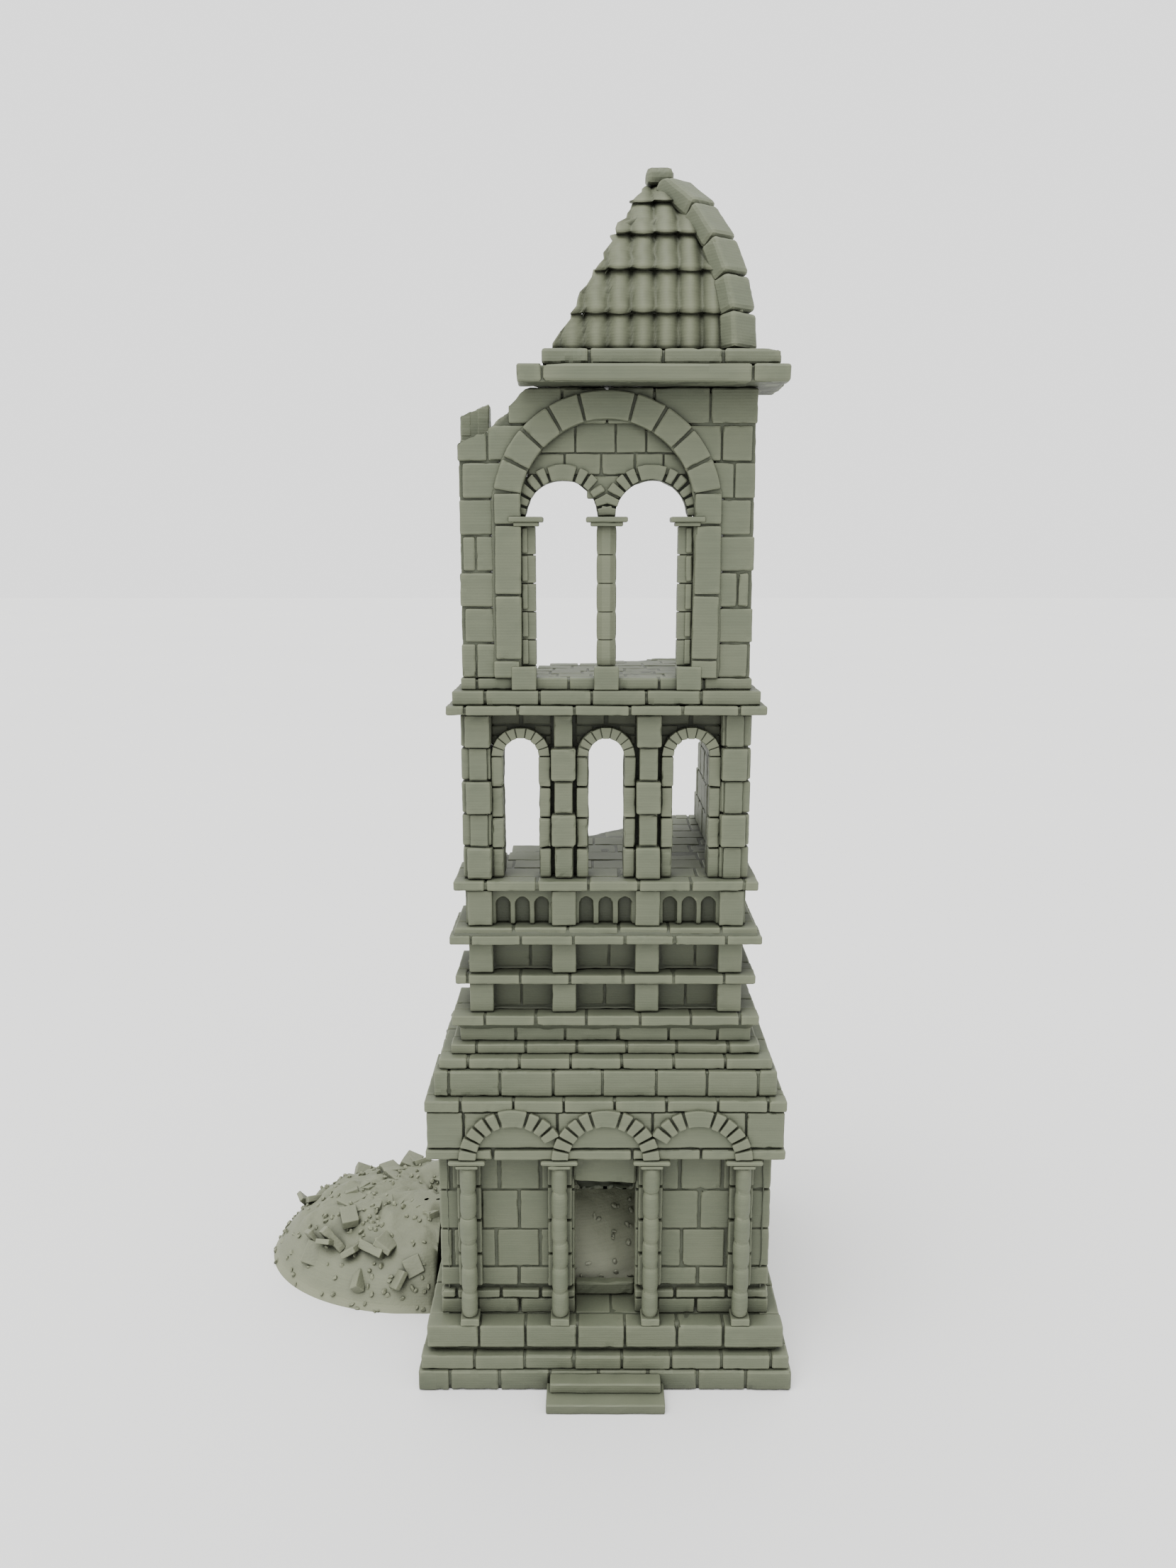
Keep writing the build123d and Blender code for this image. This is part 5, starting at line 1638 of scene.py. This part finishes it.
class Roof(Storey):
    """Eaves, pan tiles, hip stones and top stone, on the last lifting body."""

    BODY = "roof"

    def __init__(self, sizes: RoofSizes) -> None:
        """Keep the sizes and read the tiles' place."""
        self.sizes = sizes
        self.box = Box.of("roof_tiles")
        points = corners("roof_tiles")
        low = points[(points[:, 2] < self.box.z0 + 0.1) & (points[:, 1] < self.box.y0 + 0.2)]
        high = points[points[:, 2] > self.box.z1 - 0.1]
        self.left_low, self.left_high = float(low[:, 0].min()), float(high[:, 0].min())
        side = points[(points[:, 2] < self.box.z0 + 0.1) & (points[:, 0] > self.box.x1 - 0.2)]
        self.back_low, self.back_high = float(side[:, 1].max()), float(high[:, 1].max())

    def reach(self, height: float, half: float) -> float:
        """Return how far a slope stands from the middle at a height above the eaves."""
        return half * math.sqrt(max(0.0, 1.0 - (height / self.sizes.rise) ** 2))

    def strip(self, side: Side, row: int, seed: int) -> bpy.types.Mesh:
        """Return one course of pan tiles on one slope, as a closed shell."""
        s, rise = self.sizes, self.box.z1 - self.box.z0
        z0, z1 = s.rows[row] * rise, s.rows[row + 1] * rise
        levels = s.levels
        deep, run = (s.half_front, s.half_side) if side is Side.FRONT else (s.half_side, s.half_front)
        width = self.reach(z0, run) + s.overhang
        start_low = self.left_low if side is Side.FRONT else -self.back_low
        start_high = self.left_high if side is Side.FRONT else -self.back_high
        low_end = start_low + (start_high - start_low) * s.rows[row]
        high_end = start_low + (start_high - start_low) * s.rows[row + 1]
        count = max(6, int((width - min(low_end, high_end)) / s.step))
        rng = random.Random(seed + row * 7)
        jag = [rng.uniform(-1.6, 0.6) for _ in range(levels)]
        outer = np.zeros((levels, count + 1, 3))
        inner = np.zeros((levels, count + 1, 3))
        for level in range(levels):
            t = level / (levels - 1)
            height = z0 + (z1 + 0.5 - z0) * t
            reach = self.reach(height, deep) + s.overhang * (1.0 - t)
            corner = self.reach(height, run) + s.overhang * (1.0 - t)
            end = low_end + (high_end - low_end) * t + jag[level]
            a = np.linspace(end, corner, count + 1)
            wave = np.abs(np.cos(np.pi * (a - s.ridge_phase) / s.ridge_pitch)) ** 0.95
            tile = np.floor((a - s.ridge_phase) / s.ridge_pitch + 0.5)
            lift = lattice(np.stack([tile * 31.0, np.full_like(a, row * 17.0), a * 0], 1), 5.0, seed) * 0.35
            out = reach - s.ridge * (1.0 - wave) + lift * (1.0 - t)
            lip = (1.0 - t) * (0.9 * (1.0 - wave) + lift * 0.9 + 0.15)
            z = self.box.z0 + height + lip * (1.0 if level == 0 else 0.4 * (1 - t))
            a = np.minimum(a, corner - reach + out)
            for target, back in ((outer, 0.0), (inner, s.shell)):
                depth = out - back
                x, y = (a, -depth) if side is Side.FRONT else (depth, -a)
                target[level] = np.stack([np.broadcast_to(x, a.shape), np.broadcast_to(y, a.shape), z], 1)
        grid = np.concatenate([outer.reshape(-1, 3), inner.reshape(-1, 3)])
        grid += rugged(grid, 3.0, seed + 3, 2)[:, None] * 0.10
        faces, across, total = [], count + 1, levels * (count + 1)
        for level in range(levels - 1):
            for n in range(count):
                q = (level * across + n, level * across + n + 1, (level + 1) * across + n + 1,
                     (level + 1) * across + n)
                faces += [q, tuple(total + v for v in reversed(q))]
        rims = [(level * across + n, 1) for n in range(count) for level in (0, levels - 1)]
        rims += [(level * across + n, across) for level in range(levels - 1) for n in (0, count)]
        faces += [(v, v + on, total + v + on, total + v) for v, on in rims]
        mesh = new_mesh(grid, faces, TILE)
        smooth = np.ones(len(faces), bool)
        smooth[2 * (levels - 1) * count:] = False
        mesh.polygons.foreach_set("use_smooth", smooth)
        return mesh

    def tiles(self) -> Piece:
        """Return the tile courses of both slopes over their broken bed."""
        made = Piece("roof_tiles", self.BODY, finish=TILE, margin=0.5)
        made.extras.append(core("roof_tiles", Bed(voxel=1.5, inset=3.4, top_inset=0.2, course=5.0),
                                Ruin.NONE, BROKEN, BROKEN, 301))
        for row in range(len(self.sizes.rows) - 1):
            for side in (Side.FRONT, Side.RIGHT):
                made.extras.append(self.strip(side, row, 310 + side.value))
        return made

    def hips(self) -> list[Piece]:
        """Return the rounded stones along the hip and the one at its top."""
        s, rise, stones = self.sizes, self.box.z1 - self.box.z0, []
        height = rise / s.hips
        rng = random.Random(331)
        for n in range(s.hips):
            low, high = n * height + 0.2, (n + 1) * height - 0.1
            middle = (low + high) / 2.0
            x, y = (self.reach(middle, half) - 0.8 for half in (s.half_side, s.half_front))
            dx, dy = (self.reach(low, half) - self.reach(high, half) for half in (s.half_side, s.half_front))
            lean = math.atan2(math.hypot(dx, dy), high - low)
            length = (high - low) / math.cos(lean)
            stones.append(Stone((x, -y, self.box.z0 + middle), (*s.hip_half, length / 2.0 + 0.1),
                                (-lean, rng.gauss(0, 0.03), math.atan2(dx, dy)),
                                1.15 * rng.uniform(0.85, 1.1)))
        hip = Piece("hip_stones", self.BODY, stones=stones, weather=LUMPY, margin=1.2)
        box = Box.of("finial_stone")
        x, y, z = ((box.x0 + box.x1) / 2, (box.y0 + box.y1) / 2, (box.z0 + box.z1) / 2)
        half = (box.x1 - box.x0) / 2
        top = Stone((x, y, z), (half, half, (box.z1 - box.z0) / 2), wear=1.6)
        cap = Piece("finial_stone", self.BODY, stones=[top], weather=replace(LUMPY, chip=1.5, seed=6))
        return [hip, cap]

    def eaves(self) -> list[Piece]:
        """Return the two courses of worn, broken eave slabs."""
        pieces = []
        for seed, (node, marks) in enumerate(self.sizes.eave_joints):
            box, mason = Box.of(node), Mason(341 + seed, 0.6, 0.5)
            low = box.z0 if node == "eave_upper" else box.z1 - 4.7
            cuts = [box.x0 + 0.5, *(box.x0 + mark for mark in marks), box.x1]
            stones = [mason.stone(Side.FRONT, a + 0.25, b - 0.25, -box.y0, 11.0, low + 0.05, box.z1)
                      for a, b in zip(cuts, cuts[1:])]
            stones += mason.course(Side.RIGHT, box.y0 + 11.0, box.y1 - 0.5, box.x1, 8.0, low + 0.05,
                                   box.z1, Joints(17.0, 4.0, 0.6, 2.2))
            made = Piece(node, self.BODY, stones=stones, weather=replace(BATTERED, seed=8 + seed))
            # the core's joints take the darker joint colour, which is painted shade
            made.extras.append(core(node, Bed(voxel=1.3, inset=1.0), Ruin.FAR_END, SHADED_CORE, BROKEN, 345))
            pieces.append(made)
        return pieces

    def pieces(self) -> list[Piece]:
        """Return every piece of the roof."""
        return [*self.eaves(), self.tiles(), *self.hips()]


# ---------------------------------------------------------------- studio

@dataclass(frozen=True)
class Studio:
    """A near-white floor, soft overhead light and the catalogue camera."""

    floor_colour: str = "#DADAD9"
    floor_shade: str = "#D6D6D5"
    floor_half: float = 6.0     # half of the floor's side, in metres
    sky: float = 1.8
    key_strength: float = 3.4
    key_angle: float = 48.0     # how wide the overhead lamp looks from the model, in degrees
    key_tilt: float = 26.0      # how far it stands in front of straight overhead, in degrees
    key_turn: float = -24.0     # and how far to the left
    camera_at: tuple[float, float, float] = (-0.0053, -0.3808, 0.2576)
    camera_tilt: float = 78.7
    lens: float = 27.03

    def floor(self) -> bpy.types.Object:
        """Return the floor: one broad sheet with a faintly uneven paper finish."""
        mesh = bpy.data.meshes.new("floor")
        size = self.floor_half
        mesh.from_pydata([(-size, -size, 0), (size, -size, 0), (size, size, 0), (-size, size, 0)], [],
                         [(0, 1, 2, 3)])
        paper = bpy.data.materials.new("white_backdrop_paper")
        paper.use_nodes = True
        tree = paper.node_tree
        tree.nodes.clear()
        place = add_node(tree, "ShaderNodeTexCoord").outputs["Object"]
        tone = add_node(tree, "ShaderNodeTexNoise", inputs={"Vector": place, "Scale": 3.0})
        colour = add_node(tree, "ShaderNodeMix", {"data_type": "RGBA"}, {
            "Factor": tone.outputs[0], 6: linear(self.floor_shade), 7: linear(self.floor_colour)})
        shader = add_node(tree, "ShaderNodeBsdfPrincipled", inputs={
            "Base Color": colour.outputs[2], "Roughness": 0.9})
        add_node(tree, "ShaderNodeOutputMaterial", inputs={"Surface": shader.outputs[0]})
        mesh.materials.append(paper)
        return bpy.data.objects.new("floor", mesh)

    def lamp(self) -> bpy.types.Object:
        """Return the broad overhead lamp, a little to the left and in front."""
        data = bpy.data.lights.new("overhead", "SUN")
        data.energy, data.angle = self.key_strength, math.radians(self.key_angle)
        made = bpy.data.objects.new("overhead", data)
        made.rotation_euler = (math.radians(self.key_tilt), 0.0, math.radians(self.key_turn))
        return made

    def build(self) -> None:
        """Set up the floor, the lamp, the sky and the camera."""
        world = bpy.data.worlds.new("soft_sky")
        world.use_nodes = True
        background = world.node_tree.nodes["Background"]
        background.inputs["Color"].default_value = (1.0, 1.0, 1.0, 1.0)
        background.inputs["Strength"].default_value = self.sky
        bpy.context.scene.world = world
        eye = bpy.data.objects.new("camera", bpy.data.cameras.new("camera"))
        eye.data.lens = self.lens
        eye.data.clip_start = 0.01
        eye.location = self.camera_at
        eye.rotation_euler = (math.radians(self.camera_tilt), 0.0, 0.0)
        made = [self.floor(), eye, self.lamp()]
        for item in made:
            bpy.context.scene.collection.objects.link(item)
        bpy.context.scene.camera = eye


def main() -> None:
    """Build every piece and the studio."""
    logging.basicConfig(level=logging.INFO, format="%(message)s")
    tree, pebbles = StoneTree(), PebbleTree()
    storeys = (GroundStorey(GroundSizes(), pebbles), ArcadeStorey(ArcadeSizes()),
               Belfry(BelfrySizes()), Roof(RoofSizes()))
    for storey in storeys:
        for piece in storey.pieces():
            piece.build(tree)
    Studio().build()


if __name__ == "__main__":
    main()
